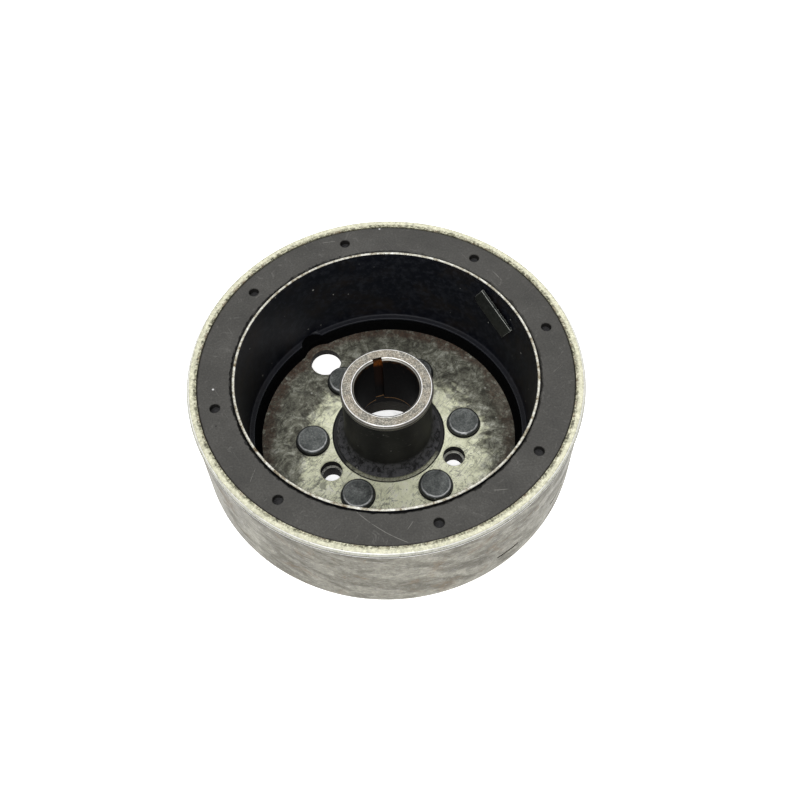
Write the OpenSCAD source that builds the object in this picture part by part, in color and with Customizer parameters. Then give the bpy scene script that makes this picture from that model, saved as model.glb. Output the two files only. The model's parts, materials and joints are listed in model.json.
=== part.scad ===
// Outer-rotor magneto flywheel: a drawn steel bowl with a riveted hub,
// four arc magnets moulded into a resin ring and a thin liner over them.
// Units are millimetres. The origin is on the axis at the hub flange's
// underside, and +Z runs along the axis to the bowl's open side.
// +X passes through a rivet and +Y through a bolt hole.

/* [Bowl] */
// Outer diameter over the chamfered lip
bowl_d = 121; // [118:0.5:126]
// Height from the hub flange's underside to the rim
total_h = 46; // [44:0.5:50]
// Thickness of the side wall below the lip
wall_t = 2.6; // [2.2:0.1:3]
// Thickness of the floor
floor_t = 3.4; // [3:0.1:3.8]
// Outside radius of the corner between floor and wall
corner_r = 8.5; // [7:0.5:9.5]
// How far the lip stands out past the wall
lip_out = 0.4; // [0.2:0.1:0.6]
// Height of the chamfer on the lip
lip_chamfer_h = 1; // [0.6:0.1:1.2]
// Width of the chamfer on the lip
lip_chamfer_w = 0.7; // [0.4:0.1:0.9]

/* [Hub] */
// Radius of the flange riveted under the floor
hub_flange_r = 30.5; // [30:0.1:30.6]
// Thickness of that flange
hub_flange_t = 5.4; // [4.5:0.1:6]
// Radius of the spigot that centres the floor
hub_spigot_r = 18.5; // [18:0.1:19]
// Height of the boss above the floor
boss_h = 28.3; // [25:0.1:30]
// Radius of the boss at the foot of its flare
boss_foot_r = 17.3; // [17:0.1:17.6]
// Radius of the boss at the top of its flare
boss_low_r = 14.3; // [14.2:0.1:14.6]
// Radius of the boss under its turned land
boss_top_r = 14.4; // [14.2:0.1:14.5]
// Radius of the turned land at the top of the boss
land_r = 14.7; // [14.6:0.1:15]
// Radius at the small end of the shaft taper
taper_small_r = 9.2; // [8.8:0.1:9.4]
// Taper on diameter, as one part in this many
taper_ratio = 10; // [8:1:12]
// Wall radius of the puller thread
thread_r = 13.46; // [12.9:0.02:13.6]
// Depth of the puller thread from the underside
thread_h = 9.5; // [8:0.5:10]
// Radius of the nut pocket above the thread
pocket_r = 11.8; // [11:0.1:12.2]
// Height of the nut seat above the underside
seat_z = 15.8; // [14:0.1:17]
// Width of the keyway
keyway_w = 3; // [2.5:0.1:4]
// Radius of the keyway's floor at the top face
keyway_r = 11.3; // [11:0.1:11.8]
// Direction of the keyway
keyway_angle = 99; // [90:1:110]

/* [Rivets and holes] */
// Number of rivets
rivet_count = 6; // [6]
// Radius of the rivet circle
rivet_circle_r = 25.3; // [25:0.1:25.4]
// Radius of a rivet shank
rivet_r = 3.5; // [3:0.1:3.6]
// Radius of a rivet head
rivet_head_r = 5.4; // [5:0.1:5.5]
// Height of a rivet head
rivet_head_h = 1.8; // [1:0.1:2]
// Number of bolt holes
bolt_count = 3; // [3]
// Radius of the bolt circle
bolt_circle_r = 23.4; // [23.2:0.1:24]
// Radius of a bolt hole in the floor
bolt_floor_r = 3.6; // [3.2:0.1:3.8]
// Radius of a bolt hole in the hub flange
bolt_flange_r = 3; // [2.5:0.1:3.1]
// Radius of the access hole
access_r = 5.2; // [4:0.1:5.2]
// Distance of the access hole from the axis
access_circle_r = 36; // [35.8:0.1:36.4]
// Direction of the access hole
access_angle = 120; // [118:0.5:122]

/* [Magnet ring] */
// Centre direction of each magnet, in order
magnet_angles = [30.5, 117.5, 207.5, 299.5];
// Angle that a magnet covers
magnet_span = 70; // [60:1:74]
// Length of a magnet along the axis
magnet_h = 28; // [24:0.5:28]
// Depth of the resin over the magnets
resin_top_t = 2.2; // [1.8:0.1:5]
// How far the resin sits under the rim
resin_drop = 0.35; // [0.1:0.05:0.5]
// Radius of the holes that the mould's pins left
pin_hole_r = 1.6; // [1:0.05:1.7]
// Radius of the circle of pin holes
pin_circle_r = 52.5; // [51:0.1:53]
// Directions of the pin holes, two over each magnet
pin_angles = [10.7, 49.7, 97.8, 136.5, 186.3, 227.2, 279.3, 320.7];
// Inner radius of the resin's foot on the floor
foot_r = 42; // [41.5:0.1:42.5]
// Inner radius of the liner
liner_r = 46; // [45.5:0.1:46.2]
// Thickness of the liner
liner_t = 0.85; // [0.6:0.05:1]
// Width of the liner's inturned edge
liner_edge_w = 1.8; // [1.2:0.1:2]
// Height of the liner's inturned edge above the floor
liner_lift = 3; // [2.5:0.1:3.5]

/* [Loose strip] */
// Length of the strip
strip_l = 16; // [12:0.5:17]
// Width of the strip
strip_w = 8; // [6:0.5:8.5]
// Thickness of the strip
strip_t = 0.9; // [0.6:0.1:1.2]
// Direction in which the strip lies
strip_angle = 32; // [20:1:45]
// Height of the strip's centre
strip_z = 36.5; // [30:0.5:37]
// Slope of the strip along the liner
strip_tilt = 25; // [0:1:30]

/* [Hidden] */
MAGNETS = [for (i = [1 : len(magnet_angles)]) str("magnet_", i)];
RIVETS = [for (i = [1 : rivet_count]) str("rivet_", i)];
$fn = 96;

// A cut starts or ends this far outside the solid that it cuts
over = 1;
// Clearance between curved faces that lie against each other
fit_gap = 0.03;

floor_top = hub_flange_t + floor_t;
boss_top = floor_top + boss_h;
lip_r = bowl_d / 2;
wall_r = lip_r - lip_out;
wall_in_r = wall_r - wall_t;
lip_band_h = 0.4;

spigot_gap = 0.05;
flare_r = 5.4;
land_h = 2;
land_chamfer = 0.6;
face_chamfer_w = 0.7;
face_chamfer_h = 0.7;
mouth_chamfer = 0.8;
taper_top_r = taper_small_r + (boss_top - seat_z) / taper_ratio / 2;
taper_half_angle = atan(1 / (2 * taper_ratio));

rivet_step = 360 / rivet_count;
rivet_edge_r = 0.9;
rivet_tail_h = 1.6;

corner_t = 3;
inner_corner_r = corner_r - corner_t;
carrier_r = wall_in_r - fit_gap;
liner_out_r = liner_r + liner_t;
carrier_in_r = liner_out_r + fit_gap;
resin_top = total_h - resin_drop;
magnet_top = resin_top - resin_top_t;
liner_edge_z = floor_top + liner_lift;
liner_drop = 0.1;
liner_top = total_h - liner_drop;
pocket_grow = 0.2;
foot_slope = 1.4;
foot_relief_r = 7.5;
edge_notch_r = 4.5;
edge_notch_at = 42.3;
resin_edge_bevel = 0.7;

strip_corner_r = 2.5;
strip_gap = 0.2;
strip_half_y = (strip_l * cos(strip_tilt) + strip_w * sin(strip_tilt)) / 2;
strip_back_x = sqrt(pow(liner_r - strip_gap, 2) - pow(strip_half_y, 2));

// Pressed marks in the wall: direction, height, length and width of each
wall_marks = [[-60.2, 20.3, 8.3, 1], [-37.6, 22.4, 8.3, 1]];
mark_depth = 0.9;

// Half section of a cup with a rounded outer corner
module cup_section(r, bottom, top, corner) {
    translate([0, bottom])
        square([r - corner, top - bottom]);
    translate([0, bottom + corner])
        square([r, top - bottom - corner]);
    translate([r - corner, bottom + corner])
        circle(corner);
}

// Children repeated at equal steps on a circle about the axis
module on_circle(count, r, start) {
    for (i = [0 : count - 1])
        rotate([0, 0, start + i * 360 / count])
            translate([r, 0, 0])
                children();
}

// Holes of one radius where the bolts pass, right through
module bolt_holes(r) {
    on_circle(bolt_count, bolt_circle_r, 90)
        translate([0, 0, -over])
            cylinder(h = floor_top + 2 * over, r = r);
}

// Holes for the rivet shanks, right through
module rivet_holes() {
    on_circle(rivet_count, rivet_circle_r, 0)
        translate([0, 0, -over])
            cylinder(h = floor_top + 2 * over, r = rivet_r + fit_gap);
}

// Lip of the bowl: a chamfer above a short upright band
module lip_section() {
    polygon([
        [wall_in_r, total_h - lip_chamfer_h - lip_band_h],
        [lip_r, total_h - lip_chamfer_h - lip_band_h],
        [lip_r, total_h - lip_chamfer_h],
        [lip_r - lip_chamfer_w, total_h],
        [wall_in_r, total_h]
    ]);
}

module bowl_section() {
    difference() {
        union() {
            cup_section(wall_r, hub_flange_t, total_h - lip_chamfer_h, corner_r);
            lip_section();
        }
        cup_section(wall_in_r, floor_top, total_h + over, inner_corner_r);
        translate([0, hub_flange_t - over])
            square([hub_spigot_r + spigot_gap, floor_t + 2 * over]);
    }
}

// One shallow pressed mark, cut from the outside of the wall
module wall_mark(angle, z, along, tall) {
    rotate([0, 0, angle])
        translate([wall_r - mark_depth, -along / 2, z - tall / 2])
            cube([mark_depth + over, along, tall]);
}

module bowl() {
    color("#b9b6a6")
        difference() {
            rotate_extrude()
                bowl_section();
            bolt_holes(bolt_floor_r);
            rivet_holes();
            rotate([0, 0, access_angle])
                translate([access_circle_r, 0, hub_flange_t - over])
                    cylinder(h = floor_t + 2 * over, r = access_r);
            for (m = wall_marks)
                wall_mark(m[0], m[1], m[2], m[3]);
        }
}

// Concave flare that joins the boss to its foot
module flare_section() {
    difference() {
        translate([0, floor_top])
            square([boss_foot_r, flare_r]);
        translate([boss_low_r + flare_r, floor_top + flare_r])
            circle(flare_r);
    }
}

module boss_section() {
    land_z = boss_top - land_h;
    polygon([
        [0, floor_top],
        [boss_low_r, floor_top],
        [boss_low_r, floor_top + flare_r],
        [boss_top_r, land_z],
        [land_r, land_z],
        [land_r, boss_top - land_chamfer],
        [land_r - land_chamfer, boss_top],
        [0, boss_top]
    ]);
}

// Mouth, puller thread, nut pocket, shaft taper and top chamfer in one cut
module bore_section() {
    polygon([
        [0, -over],
        [thread_r + mouth_chamfer + over, -over],
        [thread_r, mouth_chamfer],
        [thread_r, thread_h],
        [pocket_r, thread_h],
        [pocket_r, seat_z],
        [taper_small_r, seat_z],
        [taper_top_r, boss_top - face_chamfer_h],
        [taper_top_r + face_chamfer_w, boss_top],
        [taper_top_r + face_chamfer_w, boss_top + over],
        [0, boss_top + over]
    ]);
}

// Keyway, parallel to the wall of the taper
module keyway() {
    rotate([0, 0, keyway_angle])
        translate([keyway_r, 0, boss_top])
            rotate([0, taper_half_angle, 0])
                translate([-keyway_r, -keyway_w / 2, -(boss_top - seat_z) - over])
                    cube([keyway_r, keyway_w, boss_top - seat_z + 2 * over]);
}

module hub() {
    color("#4b4a48")
        difference() {
            rotate_extrude()
                difference() {
                    union() {
                        square([hub_flange_r, hub_flange_t]);
                        square([hub_spigot_r, floor_top]);
                        flare_section();
                        boss_section();
                    }
                    bore_section();
                }
            bolt_holes(bolt_flange_r);
            rivet_holes();
            on_circle(rivet_count, rivet_circle_r, 0)
                translate([0, 0, -over])
                    cylinder(h = rivet_tail_h + over, r1 = rivet_r + rivet_tail_h + over, r2 = rivet_r);
            keyway();
        }
}

// Rivet on the axis: rounded flat head, shank and countersunk tail
module rivet_section() {
    head_z = floor_top + rivet_head_h;
    square([rivet_r, floor_top]);
    translate([0, floor_top])
        square([rivet_head_r, rivet_head_h - rivet_edge_r]);
    translate([0, floor_top])
        square([rivet_head_r - rivet_edge_r, rivet_head_h]);
    difference() {
        translate([rivet_head_r - rivet_edge_r, head_z - rivet_edge_r])
            circle(rivet_edge_r);
        square([rivet_head_r, floor_top]);
    }
    polygon([
        [0, 0],
        [rivet_r + rivet_tail_h - fit_gap, 0],
        [rivet_r, rivet_tail_h - fit_gap],
        [0, rivet_tail_h - fit_gap]
    ]);
}

module rivet(i) {
    color("#3d4347")
        rotate([0, 0, (i - 1) * rivet_step])
            translate([rivet_circle_r, 0, 0])
                rotate_extrude()
                    rivet_section();
}

// Arc magnet on the X axis. grow makes its pocket: millimetres on the
// radii and degrees on the span
module magnet_body(grow) {
    rotate([0, 0, -magnet_span / 2 - grow])
        rotate_extrude(angle = magnet_span + 2 * grow)
            translate([carrier_in_r - grow, magnet_top - magnet_h])
                square([carrier_r - carrier_in_r + 2 * grow, magnet_h]);
}

module magnet(i) {
    color("#2c2b2c")
        rotate([0, 0, magnet_angles[i - 1]])
            magnet_body(0);
}

// Foot of resin that runs in under the liner's inturned edge
module foot_section() {
    polygon([
        [foot_r, floor_top],
        [carrier_in_r + over, floor_top],
        [carrier_in_r + over, liner_edge_z],
        [foot_r + foot_slope, liner_edge_z]
    ]);
}

module carrier_section() {
    difference() {
        cup_section(carrier_r, floor_top, resin_top, inner_corner_r);
        translate([0, floor_top - over])
            square([carrier_in_r, total_h]);
        polygon([
            [carrier_in_r - over, resin_top - resin_edge_bevel],
            [carrier_in_r, resin_top - resin_edge_bevel],
            [carrier_in_r + resin_edge_bevel, resin_top],
            [carrier_in_r + resin_edge_bevel, resin_top + over],
            [carrier_in_r - over, resin_top + over]
        ]);
    }
    foot_section();
}

module magnet_carrier() {
    color("#4f4c4a")
        difference() {
            rotate_extrude()
                carrier_section();
            for (a = magnet_angles)
                rotate([0, 0, a])
                    magnet_body(pocket_grow);
            for (a = pin_angles)
                rotate([0, 0, a])
                    translate([pin_circle_r, 0, magnet_top - over])
                        cylinder(h = total_h, r = pin_hole_r);
            rotate([0, 0, access_angle])
                translate([access_circle_r, 0, floor_top - over])
                    cylinder(h = liner_lift + 2 * over, r = foot_relief_r);
        }
}

module liner_sleeve() {
    color("#33322f")
        difference() {
            rotate_extrude() {
                translate([liner_r, liner_edge_z])
                    square([liner_t, liner_top - liner_edge_z]);
                translate([liner_r - liner_edge_w, liner_edge_z])
                    square([liner_edge_w + liner_t, liner_t]);
            }
            rotate([0, 0, access_angle])
                translate([edge_notch_at, 0, liner_edge_z - over])
                    cylinder(h = liner_t + 2 * over, r = edge_notch_r);
        }
}

// Flat strip with one rounded corner, standing on its long edge
module strip_outline() {
    difference() {
        square([strip_l, strip_w]);
        translate([strip_l - strip_corner_r, 0])
            square([strip_corner_r, strip_corner_r]);
    }
    translate([strip_l - strip_corner_r, strip_corner_r])
        circle(strip_corner_r);
}

module loose_strip() {
    color("#5a5a58")
        rotate([0, 0, strip_angle])
            translate([strip_back_x, 0, strip_z])
                rotate([strip_tilt, 0, 0])
                    rotate([90, 0, 90])
                        translate([-strip_l / 2, -strip_w / 2, -strip_t])
                            linear_extrude(strip_t)
                                strip_outline();
}

bowl();
hub();
for (i = [1 : rivet_count])
    rivet(i);
magnet_carrier();
for (i = [1 : len(magnet_angles)])
    magnet(i);
liner_sleeve();
loose_strip();
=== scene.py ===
import json
import math

import bmesh
import bpy
from mathutils import Matrix, Vector, noise


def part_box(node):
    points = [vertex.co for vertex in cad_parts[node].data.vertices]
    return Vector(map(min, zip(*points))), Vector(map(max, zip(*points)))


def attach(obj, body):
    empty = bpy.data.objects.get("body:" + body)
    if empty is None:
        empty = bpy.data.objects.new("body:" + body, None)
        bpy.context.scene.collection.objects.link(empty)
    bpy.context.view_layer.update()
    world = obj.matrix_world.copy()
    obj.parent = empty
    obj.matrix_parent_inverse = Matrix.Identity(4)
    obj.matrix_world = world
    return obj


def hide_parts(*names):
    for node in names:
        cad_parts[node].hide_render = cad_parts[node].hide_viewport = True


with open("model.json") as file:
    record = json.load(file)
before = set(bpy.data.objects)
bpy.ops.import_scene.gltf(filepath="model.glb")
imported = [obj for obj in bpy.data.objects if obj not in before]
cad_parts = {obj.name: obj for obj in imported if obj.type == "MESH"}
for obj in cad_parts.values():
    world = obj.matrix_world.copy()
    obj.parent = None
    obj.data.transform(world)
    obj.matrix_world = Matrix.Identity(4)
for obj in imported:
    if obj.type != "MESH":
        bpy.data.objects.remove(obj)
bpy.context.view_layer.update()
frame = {"nodes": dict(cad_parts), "record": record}

bl_info = {
    "name": "Magneto flywheel looks",
    "version": (1, 0, 0),
    "blender": (4, 5, 0),
    "location": "3D View > Sidebar > Flywheel",
    "description": "Turned, riveted and moulded pieces of an outer-rotor magneto flywheel",
    "category": "Add Mesh",
}

# Sizes are in millimetres here and in metres in every mesh.
MM = 0.001
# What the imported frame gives
MOUNTS = {m["name"]: m for m in frame["record"]["mounts"]}


def reach(node):
    """Lowest and highest corner of a CAD node, in millimetres."""
    low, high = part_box(node)
    return low / MM, high / MM


bowl_low, bowl_high = reach("bowl")
hub_high = reach("hub")[1]
rivet_low, rivet_high = reach("rivet_1")
resin_low, resin_high = reach("magnet_carrier")
magnet_low, magnet_high = reach("magnet_1")
liner_low, liner_high = reach("liner_sleeve")

LIP_R = bowl_high.x
RIM_Z = bowl_high.z
FLANGE_TOP = bowl_low.z
FLOOR_TOP = resin_low.z
BOSS_TOP = hub_high.z
FLANGE_R = hub_high.x
RIVET_CIRCLE_R = (rivet_low.x + rivet_high.x) / 2
RIVET_HEAD_R = (rivet_high.x - rivet_low.x) / 2
RIVET_TOP = rivet_high.z
RESIN_R = resin_high.x
RESIN_TOP = resin_high.z
LINER_OUT_R = liner_high.x
LINER_LOW = liner_low.z
LINER_TOP = liner_high.z
BOLTS = MOUNTS["clutch_bolts"]["dims"]
BOLT_CIRCLE_R = BOLTS["pcd_mm"] / 2
BOLT_FLANGE_R = BOLTS["hole_r_mm"]
BOLT_COUNT = BOLTS["count"]
BOLT_START = 90

# Bowl
LIP_OUT = 0.4
WALL_T = 2.6
WALL_R = LIP_R - LIP_OUT
WALL_IN_R = WALL_R - WALL_T
CORNER_R = 8.5
CORNER_IN_R = 5.5
LIP_CHAMFER_W = 0.7
LIP_CHAMFER_H = 1.0
LIP_BAND_H = 0.4
LIP_BAND_LOW = RIM_Z - LIP_CHAMFER_H - LIP_BAND_H
CENTRE_HOLE_R = 18.55
BOLT_FLOOR_R = 3.6
ACCESS_R = 5.2
ACCESS_AT = 36.0
ACCESS_ANGLE = 120
# Direction, height, length and width of each pressed mark
WALL_MARKS = [(-60.2, 20.3, 8.3, 1.0), (-37.6, 22.4, 8.3, 1.0)]
MARK_DEPTH = 0.9

# Hub
SPIGOT_R = 18.5
BOSS_FOOT_R = 17.3
BOSS_LOW_R = 14.3
BOSS_TOP_R = 14.4
FLARE_R = 5.4
LAND_R = 14.7
LAND_H = 2.0
LAND_CHAMFER = 0.6
FACE_OUT_R = LAND_R - LAND_CHAMFER
TAPER_SMALL_R = 9.2
TAPER_SLOPE = 0.05
SEAT_Z = 15.8
POCKET_R = 11.8
THREAD_TOP = 9.5
THREAD_R = 13.46
THREAD_PITCH = 1.0
THREAD_DEPTH = 0.54
MOUTH_CHAMFER = 0.8
FACE_CHAMFER = 0.7
FACE_IN_R = TAPER_SMALL_R + (BOSS_TOP - SEAT_Z) * TAPER_SLOPE + FACE_CHAMFER
KEYWAY_W = 3.0
KEYWAY_R = 11.3
KEYWAY_ANGLE = 99

# Rivets
RIVET_R = 3.5
RIVET_HOLE_R = RIVET_R + 0.03
RIVET_COUNT = 6
RIVET_TAIL_H = 1.6

# Magnet ring
MAGNET_ANGLES = (30.5, 117.5, 207.5, 299.5)
MAGNET_SPAN = 70
RESIN_IN_R = LINER_OUT_R + 0.03
RESIN_BEVEL = 0.7
# Chips go full depth this far from the resin's inner edge, then fade out
CHIP_FULL = 0.5
CHIP_FADE = 1.3
FOOT_R = 42.0
FOOT_SLOPE = 1.4
FOOT_RELIEF_R = 7.5
PIN_R = 1.6
PIN_CIRCLE_R = 52.5
PIN_ANGLES = (10.7, 49.7, 97.8, 136.5, 186.3, 227.2, 279.3, 320.7)
LINER_R = 46.0
LINER_EDGE_W = 1.8
LINER_T = 0.85
NOTCH_R = 4.5
NOTCH_AT = 42.3

# Strip
STRIP_L = 16.0
STRIP_W = 8.0
STRIP_T = 0.9
STRIP_ANGLE = 32
STRIP_TILT = 25
STRIP_Z = 36.5
STRIP_CORNER_R = 2.5


# ---------------------------------------------------------------- node trees

class Value:
    """One output socket, so that node maths reads as an expression."""

    def __init__(self, graph, socket):
        self.graph = graph
        self.socket = socket

    def maths(self, operation, *values):
        return self.graph.add("ShaderNodeMath", {"operation": operation}, dict(enumerate(values)))

    def __add__(self, other):
        return self.maths("ADD", self, other)

    def __radd__(self, other):
        return self.maths("ADD", other, self)

    def __sub__(self, other):
        return self.maths("SUBTRACT", self, other)

    def __rsub__(self, other):
        return self.maths("SUBTRACT", other, self)

    def __mul__(self, other):
        return self.maths("MULTIPLY", self, other)

    def __rmul__(self, other):
        return self.maths("MULTIPLY", other, self)

    def __truediv__(self, other):
        return self.maths("DIVIDE", self, other)

    def __rtruediv__(self, other):
        return self.maths("DIVIDE", other, self)

    def __pow__(self, other):
        return self.maths("POWER", self, other)

    def __mod__(self, other):
        return self.maths("FLOORED_MODULO", self, other)


class Graph:
    """Adds nodes to one node tree, of a material or of geometry."""

    def __init__(self, tree):
        self.tree = tree

    def add(self, kind, settings=None, inputs=None, output=0):
        """A node of that type: its settings are set first, then its sockets are set or linked."""
        node = self.tree.nodes.new(kind)
        for key, setting in (settings or {}).items():
            if key == "stops":
                self.set_stops(node.color_ramp, setting)
            else:
                setattr(node, key, setting)
        for key, value in (inputs or {}).items():
            socket = node.inputs[key]
            if isinstance(value, Value):
                self.tree.links.new(value.socket, socket)
            else:
                socket.default_value = value
        return Value(self, node.outputs[output]) if len(node.outputs) else None

    @staticmethod
    def set_stops(ramp, stops):
        for _ in range(len(stops) - 2):
            ramp.elements.new(0.5)
        for element, (position, shade) in zip(ramp.elements, stops):
            element.position = position
            element.color = shade


# ---------------------------------------------------------------- finishes

def grey(level):
    return (level, level, level, 1.0)


def tint(red, green, blue):
    return (red, green, blue, 1.0)


class Finish(Graph):
    """A material on object coordinates. Lengths in its patterns are in millimetres."""

    def __init__(self, name):
        self.material = bpy.data.materials.new(name)
        self.material.use_nodes = True
        super().__init__(self.material.node_tree)
        self.tree.nodes.clear()
        place = self.add("ShaderNodeTexCoord", output="Object")
        self.place = self.scaled(place, 1 / MM)
        split = self.add("ShaderNodeSeparateXYZ", inputs={0: self.place})
        self.x, self.y, self.z = (Value(self, out) for out in split.socket.node.outputs)
        self.radius = (self.x * self.x + self.y * self.y) ** 0.5

    def scaled(self, vector, factor):
        return self.add("ShaderNodeVectorMath", {"operation": "SCALE"}, {0: vector, "Scale": factor})

    def vector(self, x, y, z):
        return self.add("ShaderNodeCombineXYZ", inputs={0: x, 1: y, 2: z})

    def round_axis(self, around, across):
        """Coordinates for turning marks: slow round the axis and fast across it."""
        reach_out = self.radius * across
        return self.vector(
            self.x / self.radius * around + reach_out,
            self.y / self.radius * around + reach_out * 0.37,
            self.z * across,
        )

    def noise(self, size, detail=3.0, roughness=0.55, where=None, distortion=0.0):
        """Noise of about that grain size, from 0 to 1."""
        return self.add("ShaderNodeTexNoise", None, {
            "Vector": where or self.place, "Scale": 1 / size, "Detail": detail,
            "Roughness": roughness, "Distortion": distortion,
        })

    def specks(self, size, share, seed=0.0, radius=0.12):
        """Small uneven specks, one in each cell of that size, in that share of cells."""
        shift = (seed, seed, seed)
        moved = self.add("ShaderNodeVectorMath", {"operation": "ADD"}, {0: self.place, 1: shift})
        inputs = {"Vector": moved, "Scale": 1 / size}
        near = self.add("ShaderNodeTexVoronoi", None, inputs, "Distance")
        cell = self.add("ShaderNodeTexVoronoi", None, inputs, "Color")
        chosen = self.above(cell, 1 - share, 0.002)
        ragged = self.noise(size * 0.2, 2) * radius
        return chosen * self.below(near - ragged, radius * 0.5, radius * 0.4)

    def veins(self, size, width, distortion=1.5, detail=3.0):
        """Thin wandering lines, as hair scratches and tide marks leave."""
        field = self.noise(size, detail, 0.6, distortion=distortion)
        return self.band(field, 0.5 - width, 0.5 + width, width)

    def from_copies(self, count, circle_radius):
        """Distance from the nearest of the copies on a circle, and how far behind its middle."""
        step = math.tau / count
        angle = self.x.maths("ARCTAN2", self.y, self.x)
        folded = (angle + step / 2) % step - step / 2
        out = self.radius * folded.maths("COSINE", folded) - circle_radius
        side = self.radius * folded.maths("SINE", folded)
        middle = angle - folded
        behind = self.y - circle_radius * middle.maths("SINE", middle)
        return (out * out + side * side) ** 0.5, behind

    def from_heading(self, angle, reach_degrees):
        """Grows from 0.45 to 1 over the few degrees about a direction."""
        heading = self.x.maths("ARCTAN2", self.y, self.x) * (180 / math.pi)
        return self.add("ShaderNodeMapRange", None, {
            "Value": heading, "From Min": angle - reach_degrees, "From Max": angle + reach_degrees,
            "To Min": 0.45, "To Max": 1.0})

    def arc_scratch(self, start, end, start_r, end_r, width=0.10):
        """One scratch that runs from one direction and radius to another, in degrees and millimetres."""
        heading = self.x.maths("ARCTAN2", self.y, self.x) * (180 / math.pi)
        slope = (end_r - start_r) / (end - start)
        off = self.radius - start_r - (heading - start) * slope
        return self.band(off, -width, width, width * 0.8) * self.band(heading, start, end, 0.4)

    @staticmethod
    def contrast(value, gain):
        return (value - 0.5) * gain + 0.5

    def above(self, value, edge, soft=0.05):
        """1 where value is over the edge, 0 under it, smooth between."""
        return self.add("ShaderNodeMapRange", {"interpolation_type": "SMOOTHSTEP"}, {
            "Value": value, "From Min": edge - soft, "From Max": edge + soft,
        })

    def below(self, value, edge, soft=0.05):
        return 1 - self.above(value, edge, soft)

    def band(self, value, low, high, soft=0.05):
        return self.above(value, low, soft) * self.below(value, high, soft)

    def edge_wear(self):
        """The piece's own edge attribute: 1 on outer corners, 0 on flats."""
        return self.add("ShaderNodeAttribute", {"attribute_name": "edge"}, output="Fac")

    def crevice(self):
        return self.add("ShaderNodeAttribute", {"attribute_name": "crevice"}, output="Fac")

    def mix(self, first, second, amount):
        return self.add("ShaderNodeMix", {"data_type": "RGBA", "blend_type": "MIX"}, {
            "Factor": amount, 6: first, 7: second,
        }, 2)

    def ramp(self, value, *stops):
        return self.add("ShaderNodeValToRGB", {"stops": stops}, {"Fac": value})

    def scratches(self, length, gap, angle, seed):
        """Fine straight scratches in one direction, broken up into runs."""
        turned = self.add("ShaderNodeVectorRotate", {"rotation_type": "Z_AXIS"}, {
            "Vector": self.place, "Angle": math.radians(angle),
        })
        drawn = self.add("ShaderNodeVectorMath", {"operation": "MULTIPLY"}, {
            0: turned, 1: (1 / length, 1 / gap, 1 / gap),
        })
        line = self.add("ShaderNodeTexNoise", {"noise_dimensions": "4D"}, {
            "Vector": drawn, "W": seed, "Scale": 1.0, "Detail": 2.0, "Roughness": 0.5,
        })
        return self.above(line, 0.66, 0.03)

    def finish(self, colour, roughness, metallic, height, bump_mm, strength, specular=0.5, glow=0.0):
        """The shader itself, with a bump that many millimetres high."""
        normal = self.add("ShaderNodeBump", None, {
            "Height": height, "Strength": strength, "Distance": bump_mm * MM,
        })
        shader = self.add("ShaderNodeBsdfPrincipled", None, {
            "Base Color": colour, "Roughness": roughness, "Metallic": metallic, "Normal": normal,
            "Specular IOR Level": specular, "Emission Strength": glow,
        })
        self.add("ShaderNodeOutputMaterial", None, {"Surface": shader})
        return self.material


def rim_finish():
    """Turned top of the rim: pale zinc, speckled, with rust towards the resin."""
    f = Finish("rim_zinc")
    grain = f.noise(0.75, 4, 0.75)
    mottle = f.noise(2.6, 5, 0.7, distortion=0.4)
    turned = f.noise(1, 2, 0.6, f.round_axis(20, 4))
    shade = f.contrast(grain * 0.5 + mottle * 0.3 + turned * 0.2, 1.5)
    colour = f.ramp(shade, (0.34, tint(0.075, 0.072, 0.048)),
                    (0.43, tint(0.27, 0.265, 0.18)), (0.52, tint(0.52, 0.51, 0.37)),
                    (0.62, tint(0.70, 0.695, 0.55)), (0.75, tint(0.90, 0.90, 0.82)))
    inner = f.below(f.radius + (mottle - 0.5) * 2.5, 58.2, 0.8)
    stain = f.above(f.noise(1.1, 5, 0.8), 0.53, 0.06) * (0.30 + 0.70 * inner)
    colour = f.mix(colour, tint(0.032, 0.029, 0.020), stain * 0.85)
    rust = f.above(f.noise(2.6, 5, 0.75, distortion=0.6), 0.56, 0.05) * (0.2 + 0.8 * inner)
    colour = f.mix(colour, tint(0.13, 0.065, 0.026), rust * 0.75)
    nick = f.specks(2.1, 0.22, 6.0, 0.16)
    colour = f.mix(colour, tint(0.03, 0.028, 0.022), nick * 0.8)
    clean = f.band(f.radius + (mottle - 0.5) * 1.2, 58.4, 59.7, 0.3)
    colour = f.mix(colour, tint(0.88, 0.87, 0.68), clean * 0.45)
    chamfer = f.above(f.radius, LIP_R - LIP_CHAMFER_W + 0.05, 0.06)
    colour = f.mix(colour, tint(0.50, 0.50, 0.45), chamfer * (0.45 + 0.4 * f.above(grain, 0.45, 0.1)))
    # painted highlight: a near-white line on the rim's edge, where the flat top meets the chamfer
    bright = f.band(f.radius, LIP_R - LIP_CHAMFER_W - 0.06, LIP_R - LIP_CHAMFER_W + 0.14, 0.05)
    colour = f.mix(colour, grey(0.95), bright * f.above(mottle, 0.40, 0.08) * 0.8)
    # painted shade: a dark line at the foot of the chamfer, where the lip steps down
    painted_shade_line = f.below(f.z, RIM_Z - LIP_CHAMFER_H + 0.18, 0.05) * chamfer
    colour = f.mix(colour, tint(0.035, 0.034, 0.030), painted_shade_line * 0.8)
    rough = 0.40 + 0.25 * stain + 0.2 * rust - 0.12 * bright
    height = grain * 0.5 + turned * 0.3 - stain * 0.4 - nick
    return f.finish(colour, rough, 0.55 - 0.4 * rust - 0.2 * stain, height, 0.08, 0.8)


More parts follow.
